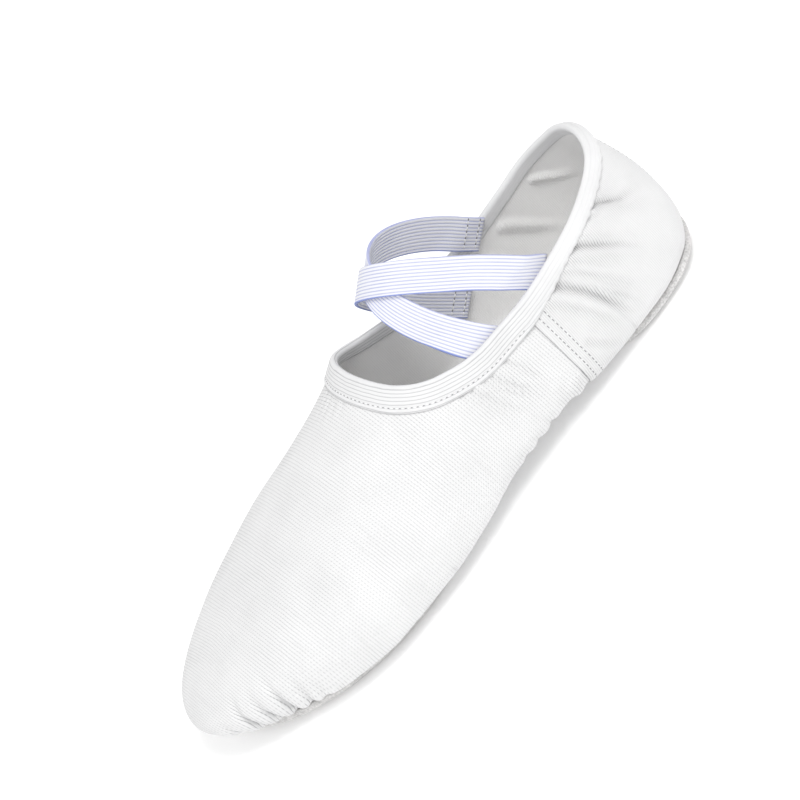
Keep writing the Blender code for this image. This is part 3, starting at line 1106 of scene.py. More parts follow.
ELASTIC = Elastic(
    "ribbed_elastic",
    colour=(0.80, 0.803, 0.836),
    groove=(0.38, 0.41, 0.66),
    edge=(0.24, 0.30, 0.64),
    pitch=1.2 * MM,
    width=12 * MM,
)
THREAD = Thread("white_thread", (0.90, 0.90, 0.90), (0.74, 0.74, 0.75))
# Dark beads sunk into the cloth at the needle holes: painted shade of the holes.
HOLE_SHADE = Thread("needle_hole", (0.29, 0.29, 0.30), (0.19, 0.19, 0.20))


@dataclass(frozen=True)
class Fold:
    """Soft crease on one side of the canvas. A depth below zero is a ridge.

    Attributes:
        side: Side of the foot.
        path: Stations and heights along it, in millimetres.
        width: Half width in millimetres.
        depth: Depth in millimetres.
        hold: Share of its length from which it fades.
        start: Share of its length over which it comes in.
        shoulder: Height of the raised cloth beside it, as a share of the depth.
        shoulder_width: Reach of that cloth, in half widths.
        samples: Points of the smooth path.
    """

    side: Side
    path: tuple[tuple[float, float], ...]
    width: float
    depth: float
    hold: float = 0.4
    start: float = 0.1
    shoulder: float = 0.4
    shoulder_width: float = 2.4
    samples: int = 25

    def relief(self, last: Last, station: np.ndarray, girth: np.ndarray) -> np.ndarray:
        """Height of the crease on the canvas.

        Args:
            last: Form of the canvas.
            station: Stations of the canvas's points.
            girth: Their girths on this fold's side.

        Returns:
            Heights, of the shape of girth.
        """
        knots = np.array([[s * MM, last.girth_at(s * MM, z * MM, self.side)] for s, z in self.path])
        place = np.linspace(0, 1, len(knots))
        fine = np.linspace(0, 1, self.samples)
        line = np.stack([Curve(place, knots[:, k]).at(fine) for k in range(2)], axis=1)
        nearest = np.full(girth.shape, np.inf)
        way = np.zeros(girth.shape)
        for i in range(len(line) - 1):
            run = line[i + 1] - line[i]
            dx = station - line[i, 0]
            dy = girth - line[i, 1]
            t = np.clip((dx * run[0] + dy * run[1]) / (run @ run), 0, 1)
            distance = np.hypot(dx - t * run[0], dy - t * run[1])
            closer = distance < nearest
            nearest = np.where(closer, distance, nearest)
            way = np.where(closer, (i + t) / (len(line) - 1), way)
        near = nearest / (self.width * MM)
        beside = self.shoulder * np.exp(-((near / self.shoulder_width) ** 2))
        fade = smooth(0, self.start, way) * (1 - smooth(self.hold, 1.0, way))
        return self.depth * MM * (beside - np.exp(-(near**2))) * fade


@dataclass(frozen=True)
class Gather:
    """Short gather that runs forward from under the binding, in millimetres.

    Attributes:
        start: Station at which it starts.
        girth: Its girth, below zero on the inner side.
        length: Its length.
        depth: Its depth.
        width: Its half width.
        ease: Share of its length over which it comes in.
        hold: Share of its length from which it fades.
    """

    start: float
    girth: float
    length: float
    depth: float
    width: float = 1.3
    ease: float = 0.2
    hold: float = 0.3

    def relief(self, station: np.ndarray, girth: np.ndarray) -> np.ndarray:
        """Height of the gather on the canvas.

        Args:
            station: Stations of the canvas's points.
            girth: Their girths, below zero on the inner side.

        Returns:
            Heights, of the shape of girth.
        """
        way = (station / MM - self.start) / self.length
        shape = np.exp(-(((girth / MM - self.girth) / self.width) ** 2))
        return -self.depth * MM * shape * smooth(0, self.ease, way) * (1 - smooth(self.hold, 1.0, way))


class Pleat(NamedTuple):
    """Gather of the canvas at the front sole's edge.

    Attributes:
        degrees: Its place, from the toe to the outer side.
        height: Height in millimetres at which it ends.
        depth: Depth in millimetres.
        lean: Degrees by which its upper end leans to the toe.
    """

    degrees: float
    height: float
    depth: float
    lean: float = 0.0


FOLDS = (
    Fold(Side.OUTER, ((26, 50), (18, 43), (8, 36)), 1.7, 2.4),
    Fold(Side.OUTER, ((31, 49), (25, 45), (18, 42)), 1.3, 0.8),
    Fold(Side.OUTER, ((42, 48.5), (32, 38), (19, 20)), 2.3, 2.7),
    Fold(Side.OUTER, ((48, 47), (40, 36), (31, 23)), 1.4, 0.9),
    Fold(Side.OUTER, ((56, 47.5), (46, 30), (40, 10)), 2.4, 3.3, 0.65),
    Fold(Side.OUTER, ((60, 46), (50, 30), (44, 13)), 1.3, 0.9, 0.6),
    Fold(Side.OUTER, ((52, 47), (40, 28), (33, 12)), 1.6, 1.3, 0.6),
    Fold(Side.OUTER, ((84, 45), (80, 34), (76, 22)), 1.0, 1.3, 0.6),
    Fold(Side.OUTER, ((91, 46), (86, 33), (81, 19)), 1.0, 1.6, 0.6),
    Fold(Side.OUTER, ((93.7, 46.5), (88.7, 33), (83.7, 19)), 1.0, 1.4, 0.6),
    Fold(Side.OUTER, ((99, 47), (94, 34), (89, 20)), 1.0, 1.5, 0.6),
    Fold(Side.OUTER, ((101.7, 47.5), (96.7, 34), (91.7, 20)), 1.0, 1.1, 0.6),
    Fold(Side.OUTER, ((85, 5), (86, 11), (90, 19)), 1.5, 1.1),
    Fold(Side.OUTER, ((92, 5), (93, 10), (98, 17)), 1.5, 1.0),
    Fold(Side.OUTER, ((99, 5), (100, 10), (105, 16)), 1.5, 0.8),
    Fold(Side.OUTER, ((70, 17), (72, 11), (72, 6)), 2.6, -1.9),
    Fold(Side.OUTER, ((60, 22), (54, 13), (47, 8)), 2.4, 1.1),
    Fold(Side.INNER, ((27, 46), (19, 40), (10, 34)), 1.7, 1.8),
    Fold(Side.INNER, ((46, 43), (36, 31), (26, 18)), 2.0, 2.1),
    Fold(Side.INNER, ((60, 42), (51, 28), (46, 14)), 1.6, 1.4),
    Fold(Side.INNER, ((84, 43), (76, 31), (72, 18)), 2.0, 1.3),
)
GATHERS = (
    Gather(126, -2.5, 13, 0.80),
    Gather(125, -6.5, 15, 0.90),
    Gather(124, -10.5, 13, 0.85),
    Gather(122, -14.5, 12, 0.75),
    Gather(119, -18.5, 10, 0.55),
    Gather(126, 2.0, 11, 0.60),
    Gather(125, 7.0, 9, 0.45),
)
PLEATS = (
    Pleat(85, 22, 0.9),
    Pleat(75, 25, 1.7, -4),
    Pleat(66, 29, 2.6, 2),
    Pleat(57, 27, 2.4, 8),
    Pleat(48, 28, 2.7, 14),
    Pleat(38, 21, 1.9, 16),
    Pleat(27, 15, 1.2),
    Pleat(16, 12, 1.1),
    Pleat(4, 11, 1.0),
    Pleat(-8, 11, 1.0),
    Pleat(-20, 12, 1.1),
    Pleat(-31, 15, 1.2),
    Pleat(-42, 20, 1.4),
    Pleat(-53, 23, 1.5),
    Pleat(-64, 22, 1.4),
    Pleat(-76, 18, 0.9),
)


class Panel(Enum):
    """Panel of the upper, with the name of its piece."""

    VAMP = "vamp"
    QUARTERS = "quarters"
    LINING = "lining"


@dataclass
class Canvas:
    """Vamp, lapped quarters and lining of the upper. The rows at the lapped edges are in millimetres."""

    last: Last
    step: float = 1.06 * MM
    lining_step: float = 1.7 * MM
    thickness: float = 0.7 * MM
    lining_depth: float = 0.78 * MM
    lining_thickness: float = 0.35 * MM
    lining_ease: float = 0.35
    half_girth: float = 104 * MM
    vamp_edge: tuple[float, ...] = (-3.0, -1.5, -0.5, 0.0, 0.25, 0.5, 0.8, 1.2)
    vamp_start: float = 2 * MM
    quarter_edge: tuple[float, ...] = (1.2, 0.8, 0.45, 0.2, 0.0)
    quarter_end: float = 1.7 * MM
    edge_roll: float = 0.9 * MM
    edge_drop: float = 0.2
    toe_centre: tuple[float, float] = (200 * MM, -3 * MM)
    toe_ease: float = 25 * MM
    toe_power: float = 1.5
    heel_centre: float = 30 * MM
    heel_ease: float = 6 * MM
    pleat_width: float = 1.5 * MM
    pleat_reach: float = 60.0
    pleat_foot: float = 0.2
    pleat_rise: tuple[float, float] = (0.1, 0.36)
    deep_fold: float = 1.1 * MM
    # Painted shade in the deepest creases and pleats, and the depths over which it comes in.
    fold_shade: float = 0.32
    fold_shade_depths: tuple[float, float] = (0.9 * MM, 2.1 * MM)
    # Painted shadow of the quarter's lapped edge on the vamp just in front of it, and its reach.
    lap_shade: float = 1.6
    lap_shade_reach: tuple[float, float] = (0.2 * MM, 0.55 * MM)
    back_seam_ends: tuple[float, float] = (12 * MM, 16 * MM)
    ridge_height: float = 0.22 * MM
    ridge_aside: float = 1.3 * MM
    ridge_width: float = 1.1 * MM
    groove_depth: float = 0.5 * MM
    groove_width: float = 0.45 * MM

    def relief(self, side: Side, station: np.ndarray, girth: np.ndarray, points: np.ndarray) -> np.ndarray:
        """Height of the creases and pleats.

        Args:
            side: Side of the foot.
            station: Stations of the canvas's points.
            girth: Their girths.
            points: The points.

        Returns:
            Heights, of the shape of girth.
        """
        total = self.folds(side, station, girth) + self.back_seam(points)
        ahead = points[..., 0] + self.last.length / 2 - self.toe_centre[0]
        aside = points[..., 1] - self.toe_centre[1]
        radius = np.hypot(ahead, aside)
        degrees = np.degrees(np.arctan2(aside, ahead))
        for pleat in PLEATS:
            upward = points[..., 2] / (pleat.height * MM)
            off = degrees - pleat.degrees + pleat.lean * np.clip(upward, 0, 1)
            off = np.radians(np.clip(off, -self.pleat_reach, self.pleat_reach)) * radius
            rise = self.pleat_foot + (1 - self.pleat_foot) * smooth(*self.pleat_rise, upward)
            fade = rise * (1 - smooth(self.pleat_rise[1], 1.0, upward))
            total = total - pleat.depth * MM * np.exp(-((off / self.pleat_width) ** 2)) * fade
        return total

    def folds(self, side: Side, station: np.ndarray, girth: np.ndarray) -> np.ndarray:
        """Height of the creases and gathers on one side of the foot.

        Args:
            side: Side of the foot.
            station: Stations of the canvas's points.
            girth: Their girths.

        Returns:
            Heights, of the shape of girth.
        """
        total = np.zeros(girth.shape)
        for fold in FOLDS:
            if fold.side is side:
                total = total + fold.relief(self.last, station, girth)
        for gather in GATHERS:
            total = total + gather.relief(station, side.value * girth)
        return total

    def sheet(
        self, panel: Panel, rows: np.ndarray, step: float, depth: float, finish: bpy.types.Material
    ) -> bpy.types.Object:
        """Sheet over both sides of the foot, shaped by the creases.

        Args:
            panel: Panel that it is.
            rows: Stations of its rings.
            step: Spacing of its points round the foot.
            depth: Depth under the canvas's outer face.
            finish: Material.

        Returns:
            The piece.
        """
        last = self.last
        ways = np.linspace(0, 1, int(self.half_girth / step) + 1)
        patches = []
        for side in Side:
            angle, girth = last.ring(rows, side, ways)
            station = np.broadcast_to(rows[:, None], girth.shape)
            base, normal = last.face(station, side.turned(angle))
            relief = self.relief(side, station, girth, base)
            rise = relief + np.minimum(relief, 0) * self.lining_ease * (depth > 0) - depth
            drawn = np.clip(np.abs(relief) / self.deep_fold, 0, 1)
            # Painted shade in the deepest creases and pleats, added to the fold attribute.
            drawn = drawn + self.fold_shade * smooth(*self.fold_shade_depths, -relief)
            if panel is Panel.QUARTERS:
                rise = rise + self.lapped(station)
            if panel is Panel.VAMP:
                flat = self.vamp_cloth(station, side.value * girth, base)
                # Painted shadow: a dark line on the vamp just in front of the quarter's lapped edge.
                away = smooth(*self.lap_shade_reach, station - last.side_seam)
                drawn = drawn + self.lap_shade * (1 - away)
            else:
                flat = self.quarter_cloth(station, base)
            outward = normal[len(rows) // 2, len(ways) // 2]
            patches.append(Patch(base + normal * rise[..., None], flat, outward, drawn))
        return sheet_object(panel.value, patches, finish)

    def vamp_cloth(self, station: np.ndarray, girth: np.ndarray, points: np.ndarray) -> np.ndarray:
        """Places of the vamp's points on its flat cloth, which runs straight on over the toe.

        Args:
            station: Stations of the points.
            girth: Their girths, below zero on the inner side.
            points: The points.

        Returns:
            Places along and across the cloth.
        """
        start = self.toe_centre[0]
        ridge = self.last.point(np.minimum(station, start), np.full(station.shape, 90.0))
        ahead = np.maximum(station - start, 0)
        aside = points[..., 1] - ridge[..., 1]
        drop = np.maximum(ridge[..., 2] - points[..., 2], 0)
        radius = np.maximum(np.hypot(ahead, aside), LEAST / 10)
        reach = (radius**self.toe_power + drop**self.toe_power) ** (1 / self.toe_power)
        spread = 1 + (reach / radius - 1) * (ahead / radius) ** 2
        near = smooth(start - self.toe_ease, start, station)
        along = np.minimum(station, start) + ahead * spread
        across = girth + (reach * aside / radius - girth) * near
        return np.stack([along, across], axis=-1)

    def quarter_cloth(self, station: np.ndarray, points: np.ndarray) -> np.ndarray:
        """Places of the quarters' points on their flat cloth, which is bent round the upright heel.

        Args:
            station: Stations of the points.
            points: The points.

        Returns:
            Places along and across the cloth.
        """
        centre = self.heel_centre
        cut = self.last.section(np.maximum(station, centre))
        side = (cut.outer + cut.inner) / 2
        behind = np.maximum(centre - station, 0)
        aside = np.abs(points[..., 1] - (cut.outer - cut.inner) / 2)
        turn = np.arctan2(behind, aside)
        outline = 1 / np.hypot(np.cos(turn) / side, np.sin(turn) / centre)
        inward = np.maximum(outline - np.hypot(behind, aside), 0)
        upward = points[..., 2] - cut.widest
        along = np.maximum(station - centre, 0) - turn * centre
        across = -upward - np.tanh(upward / self.heel_ease) * inward
        return np.stack([along, across], axis=-1)

    def back_seam(self, points: np.ndarray) -> np.ndarray:
        """Height of the seam down the middle of the heel's back, a groove between two sewn ridges.

        Args:
            points: Points of the canvas.

        Returns:
            Heights, 0 away from the heel's back.
        """
        aside = np.abs(points[..., 1])
        back = 1 - smooth(*self.back_seam_ends, points[..., 0] + self.last.length / 2)
        ridge = self.ridge_height * np.exp(-(((aside - self.ridge_aside) / self.ridge_width) ** 2))
        return back * (ridge - self.groove_depth * np.exp(-((aside / self.groove_width) ** 2)))

    def lapped(self, station: np.ndarray) -> np.ndarray:
        """Rise of the quarter over the vamp, rolled down at its folded edge."""
        roll = smooth(0, self.edge_roll, self.last.side_seam - station)
        return self.last.seam_rise(station) * (1 - self.edge_drop + self.edge_drop * roll)

    def build(self, weaves: Weaves) -> None:
        """Builds and seats the vamp, the quarters and the lining.

        Args:
            weaves: Shared shader effects.
        """
        last = self.last
        seam = last.side_seam
        front = last.rows(seam + self.vamp_start, last.length, self.step)
        front = np.concatenate([seam + np.array(self.vamp_edge) * MM, front])
        vamp = self.sheet(Panel.VAMP, front, self.step, 0.0, CANVAS.material(weaves))
        thicken(vamp, self.thickness)
        seat(vamp, "canvas", "upper")
        back = last.rows(0.0, seam - self.quarter_end, self.step)
        back = np.concatenate([back, seam - np.array(self.quarter_edge) * MM])
        quarters = self.sheet(Panel.QUARTERS, back, self.step, 0.0, QUARTER.material(weaves))
        thicken(quarters, self.thickness)
        seat(quarters, "canvas", "upper")
        whole = last.rows(0.0, last.length, self.lining_step)
        cotton = LINING.material(weaves)
        lining = self.sheet(Panel.LINING, whole, self.lining_step, self.lining_depth, cotton)
        thicken(lining, self.lining_thickness)
        seat(lining, "lining")


class Row(NamedTuple):
    """Row of stitches: its points on the cloth's face, the outward normals there and its running length."""

    path: np.ndarray
    out: np.ndarray
    run: np.ndarray

    def at(self, where: float) -> tuple[Vector, Vector]:
        """Point and outward normal at a running length."""
        columns = [np.interp(where, self.run, column) for column in (*self.path.T, *self.out.T)]
        return Vector(columns[:3]), Vector(columns[3:])


class Bead(NamedTuple):
    """Small long bead: half length, half width, and depth of its middle under the cloth's face."""

    half: float
    radius: float
    sink: float


@dataclass
class Stitching:
    """Rows of stitches along paths, with dark beads of painted shade at the needle holes between them."""

    pitch: float = 2.0 * MM
    length: float = 1.35 * MM
    radius: float = 0.27 * MM
    # Sizes of the dark beads that paint the needle holes' shade.
    hole_length: float = 0.95 * MM
    hole_radius: float = 0.27 * MM
    hole_sink: float = 0.05 * MM
    flatness: float = 0.8
    ahead: float = 0.1 * MM
    shortest: float = 0.001 * MM
    sides: int = 6
    rings: int = 5
    threads: bmesh.types.BMesh = field(default_factory=bmesh.new)
    holes: bmesh.types.BMesh = field(default_factory=bmesh.new)

    def add(self, shape: bmesh.types.BMesh, row: Row, where: float, bead: Bead) -> None:
        """Adds one bead.

        Args:
            shape: Mesh to add it to.
            row: Row in which it lies.
            where: Running length at which it lies.
            bead: Its sizes.
        """
        place, normal = row.at(where)
        along = row.at(where + self.ahead)[0] - place
        if along.length < self.shortest:
            return
        along = along.normalized()
        across = normal.cross(along).normalized()
        out = along.cross(across) * bead.radius * self.flatness
        turn = Matrix((along * bead.half, across * bead.radius, out)).transposed().to_4x4()
        turn.translation = place - normal.normalized() * bead.sink
        bmesh.ops.create_uvsphere(
            shape, u_segments=self.sides, v_segments=self.rings, radius=1.0, matrix=turn
        )

    def sew(self, path: np.ndarray, out: np.ndarray, sink: float = 0.0) -> None:
        """Sews along a path.

        Args:
            path: Points of the row on the cloth's face.
            out: Outward normal at each.
            sink: Depth of the threads' middle under the face.
        """
        row = Row(path, out, running_length(path))
        count = max(int(row.run[-1] / self.pitch), 1)
        pitch = row.run[-1] / count
        stitch = Bead(self.length / 2, self.radius, sink)
        hole = Bead(self.hole_length / 2, self.hole_radius, sink + self.hole_sink)
        for i in range(count):
            self.add(self.threads, row, (i + 0.5) * pitch, stitch)
            self.add(self.holes, row, i * pitch, hole)

    def build(self, name: str, slot: str, weaves: Weaves) -> None:
        """Makes and seats the row's pieces.

        Args:
            name: Name of the row.
            slot: Record slot of the cloth that it is sewn on.
            weaves: Shared shader effects.
        """
        # The needle holes are dark beads of painted shade.
        for shape, part, finish in ((self.threads, "stitches", THREAD), (self.holes, "needle_holes", HOLE_SHADE)):
            for face in shape.faces:
                face.smooth = True
            made = bpy.data.materials.get(finish.name) or finish.material(weaves)
            seat(mesh_object(f"{name}_{part}", shape, made), slot)


class Lay(NamedTuple):
    """How the collar tape lies at points round the canvas's edge.

    Attributes:
        station: Stations of the points.
        angle: Their angles round the last.
        run: Running lengths round the edge.
        down: Directions down the canvas.
        reach: How far the tape's outer leg reaches down.
        rolled: Shares by which the tape is rolled and not sewn flat.
    """

    station: np.ndarray
    angle: np.ndarray
    run: np.ndarray
    down: np.ndarray
    reach: np.ndarray
    rolled: np.ndarray


@dataclass
class Binding:
    """Tape folded over the collar's edge, flat and sewn at the throat, rolled at the heel.

    Its closer rows of points beside the stitches are in millimetres.
    """

    last: Last
    front: float = 8.0 * MM
    heel: float = 4.5 * MM
    taper: tuple[float, float] = (38 * MM, 76 * MM)
    inner: float = 4.5 * MM
    skin: float = 0.85 * MM
    inner_skin: float = 0.7 * MM
    roll: float = 1.5 * MM
    crown: float = 2.4 * MM
    bead: float = 1.1 * MM
    bead_share: float = 1.05
    bead_power: float = 0.8
    hem: float = 0.62
    hem_from: float = 0.86
    inner_hem: float = 0.6 * MM
    inner_hem_from: float = 0.8
    ripple: float = 0.14 * MM
    ripple_pitch: float = 3.3 * MM
    slow_pitch: float = 5.3 * MM
    slow_share: float = 0.7
    slow_phase: float = 1.0
    pucker: float = 0.13 * MM
    pucker_phase: float = 0.6
    pucker_from: tuple[float, float] = (0.55, 0.95)
    sewn_from: float = 71 * MM
    groove: float = 0.36 * MM
    groove_width: float = 0.5 * MM
    lap_ease: float = 9 * MM
    stitch_inset: float = 1.9 * MM
    stitch_sink: float = 0.08 * MM
    stitch_rows: tuple[float, ...] = (0.15, 0.35, 0.6, 0.95)
    row_room: float = 0.2 * MM
    heel_smooth: float = 0.9
    heel_smooth_power: float = 0.7
    # Painted shade along the tape's lower edge, fainter where it is rolled.
    edge_shade: float = 2.0
    edge_shade_heel: float = 0.5
    step: float = 0.8 * MM
    tape: float = 0.5 * MM
    loop_samples: int = 900
    outer_rows: int = 20
    crown_rows: int = 8
    inner_rows: int = 8

    def loop(self) -> tuple[np.ndarray, ...]:
        """Walks round the collar's edge.

        Returns:
            Stations, angles and running lengths of points a step apart, the last one back at the first.
        """
        last = self.last
        station = last.collar_back + (last.throat - last.collar_back) * eased(self.loop_samples)
        angle = last.rim_angle(station)
        station = np.concatenate([station, station[-2::-1]])
        angle = np.concatenate([angle, 180 - angle[-2::-1]])
        run = running_length(last.point(station, angle))
        even = np.linspace(0, run[-1], int(run[-1] / self.step) + 1)
        return np.interp(even, run, station), np.interp(even, run, angle), even

    def lap(self, station: np.ndarray) -> np.ndarray:
        """Rise of the tape over the lap of the side seam, eased in front of its edge."""
        ahead = self.last.seam_step * (1 - smooth(0, self.lap_ease, station - self.last.side_seam))
        return np.where(station > self.last.side_seam, ahead, self.last.seam_rise(station))

    def shares(self) -> np.ndarray:
        """Spreads the outer leg's rows, closer at the stitches.

        Returns:
            Shares of the leg's reach, from its lower edge up.
        """
        near = np.array([-row for row in self.stitch_rows[::-1]] + [0.0, *self.stitch_rows]) * MM
        stitches = 1 - (self.stitch_inset + near) / self.front
        even = np.linspace(0, 1, self.outer_rows + 1)
        far = np.abs(even[:, None] - stitches).min(axis=1) > self.row_room / self.front
        return np.sort(np.concatenate([even[far], stitches]))[::-1]

    def lay(self) -> Lay:
        """Works out how the tape lies.

        Returns:
            Its lay round the edge.
        """
        station, angle, run = self.loop()
        points, normal = self.last.face(station, angle)
        tangent = np.gradient(points, axis=0)
        tangent[0] = tangent[-1] = points[1] - points[-2]
        down = np.cross(normal, tangent)
        down /= np.linalg.norm(down, axis=1, keepdims=True)
        rolled = 1 - smooth(*self.taper, station)
        slow = self.slow_share * wave(run, self.slow_pitch, self.slow_phase)
        ripple = wave(run, self.ripple_pitch) + slow
        reach = self.front + (self.heel - self.front) * rolled + self.ripple * rolled * ripple
        return Lay(station, angle, run, down, reach, rolled)

    def outer_place(self, share: float, lay: Lay) -> tuple[np.ndarray, np.ndarray]:
        """Points of the outer leg at a share of its reach.

        Args:
            share: 0 at the edge of the canvas, 1 at the tape's lower edge.
            lay: How the tape lies.

        Returns:
            Points of the tape's face and the canvas's normals there.
        """
        place, turn = self.last.walk(lay.station, lay.angle, lay.down, lay.reach * share)
        points, normal = self.last.face(place, turn)
        skin = self.skin * (1 - self.hem * smooth(self.hem_from, 1.0, share))
        bulge = math.sin(math.pi * min(share * self.bead_share, 1.0)) ** self.bead_power
        skin = skin + self.bead * lay.rolled * bulge
        row = (lay.reach * (1 - share) - self.stitch_inset) / self.groove_width
        skin = skin - self.groove * (1 - lay.rolled) * np.exp(-(row**2))
        pucker = wave(lay.run, self.ripple_pitch, self.pucker_phase) * smooth(*self.pucker_from, share)
        skin = skin + self.pucker * lay.rolled * pucker + self.lap(place)
        return points + normal * skin[:, None], normal

    def build(self, weaves: Weaves) -> None:
        """Builds the tape and its row of stitches.

        Args:
            weaves: Shared shader effects.
        """
        last = self.last
        lay = self.lay()
        base, normal = last.face(lay.station, lay.angle)
        rows = []
        across = []
        for share in self.shares():
            rows.append(self.outer_place(float(share), lay)[0])
            across.append(lay.reach * share)
        outer_skin = ((rows[-1] - base) * normal).sum(axis=1)
        inner_skin = -(last.wall + self.inner_skin)
        middle = (outer_skin + inner_skin) / 2
        half = (outer_skin - inner_skin) / 2
        for turn in np.linspace(0, math.pi, self.crown_rows + 1)[1:-1]:
            out = middle + half * math.cos(turn)
            rows.append(base + normal * out[:, None] - lay.down * self.roll * math.sin(turn))
            across.append(np.full_like(lay.run, -self.crown * turn / math.pi))
        for share in np.linspace(0, 1, self.inner_rows + 1):
            length = np.full_like(lay.run, self.inner * share)
            place, inward = last.face(*last.walk(lay.station, lay.angle, lay.down, length))
            deep = inner_skin + self.inner_hem * smooth(self.inner_hem_from, 1.0, share)
            rows.append(place + inward * deep)
            across.append(np.full_like(lay.run, -self.crown - self.inner * share))
        points = np.stack(rows, axis=1)
        points[-1] = points[0]
        along = np.broadcast_to(lay.run[:, None], points.shape[:2])
        flat = np.stack([np.stack(across, axis=1), along], axis=-1)
        outward = normal[len(lay.run) // 2] - lay.down[len(lay.run) // 2]
        stretched = -self.heel_smooth * lay.rolled[:, None] ** self.heel_smooth_power
        drawn = np.repeat(stretched, points.shape[1], axis=1)
        # Painted shade: the lowest row, at the tape's lower edge, is darkened into a line.
        drawn[:, 0] = self.edge_shade - self.edge_shade_heel * lay.rolled
        tape = sheet_object("collar_tape", [Patch(points, flat, outward, drawn)], TAPE.material(weaves))
        thicken(tape, self.tape)
        seat(tape, "binding_tape", "collar_binding")
        self.sew(lay, weaves)

    def sew(self, lay: Lay, weaves: Weaves) -> None:
        """Sews the tape down where it is flat.

        Args:
            lay: How the tape lies.
            weaves: Shared shader effects.
        """
        sewn = lay.station > self.sewn_from
        share = 1 - self.stitch_inset / self.front
        path, normal = self.outer_place(share, lay)
        stitching = Stitching()
        stitching.sew(path[sewn], normal[sewn], self.stitch_sink)
        stitching.build("binding", "binding_tape", weaves)


@dataclass
class Seams:
    """Two rows of stitches behind each quarter's lapped edge, and one at each side of the back seam."""

    last: Last
    rows: tuple[float, float] = (2.5 * MM, 5.4 * MM)
    top: float = 7.6 * MM
    lowest: float = -62.0
    sink: float = 0.01 * MM
    back_row: float = 2.3 * MM
    back_heights: tuple[float, float] = (7 * MM, 50 * MM)
    back_sink: float = 0.05 * MM
    samples: int = 160
    back_samples: int = 2000
    back_reach: float = 0.04
    clear: float = 1.001

    def build(self, canvas: Canvas, weaves: Weaves) -> None:
        """Builds and seats the rows.

        Args:
            canvas: Upper that they are sewn on.
            weaves: Shared shader effects.
        """
        last = self.last
        stitching = Stitching(
            length=0.7 * MM,
            radius=0.2 * MM,
            hole_length=1.7 * MM,
            hole_radius=0.19 * MM,
        )
        for side in Side:
            self.sew_back(side, canvas, stitching)
            for behind in self.rows:
                station = np.array([last.side_seam - behind])
                angle, girth = last.ring(station, side, np.linspace(0, 1, self.samples))
                kept = (girth[0] > girth[0, 0] + self.top) & (angle[0] > self.lowest)
                angle = angle[0][kept]
                girth = girth[0][kept]
                stations = np.full_like(angle, station[0])
                base, normal = last.face(stations, side.turned(angle))
                rise = canvas.lapped(stations) + canvas.relief(side, stations, girth, base)
                stitching.sew(base + normal * rise[:, None], normal, self.sink)
        stitching.build("side_seam", "canvas", weaves)

    def sew_back(self, side: Side, canvas: Canvas, stitching: Stitching) -> None:
        """Sews the row at one side of the back seam.

        Args:
            side: Side of the foot.
            canvas: Upper that it is sewn on.
            stitching: Stitches to add to.
        """
        last = self.last
        table = last.length * np.linspace(0, math.sqrt(self.back_reach), self.back_samples) ** 2
        first = float(np.interp(self.back_row, last.section(table).outer, table)) * self.clear
        way = np.linspace(-1, 1, self.samples + 1)
        station = first + (last.collar_back - first) * way**2
        cut = last.section(station)
        power = np.where(way > 0, cut.low_power, cut.top_power)
        share = np.clip(self.back_row / cut.outer, 0, 1) ** (power / 2)
        angle = -np.sign(way) * np.degrees(np.arccos(share))
        base, normal = last.face(station, side.turned(angle))
        kept = (base[:, 2] > self.back_heights[0]) & (base[:, 2] < self.back_heights[1])
        rise = canvas.back_seam(base)
        stitching.sew((base + normal * rise[:, None])[kept], normal[kept], self.back_sink)


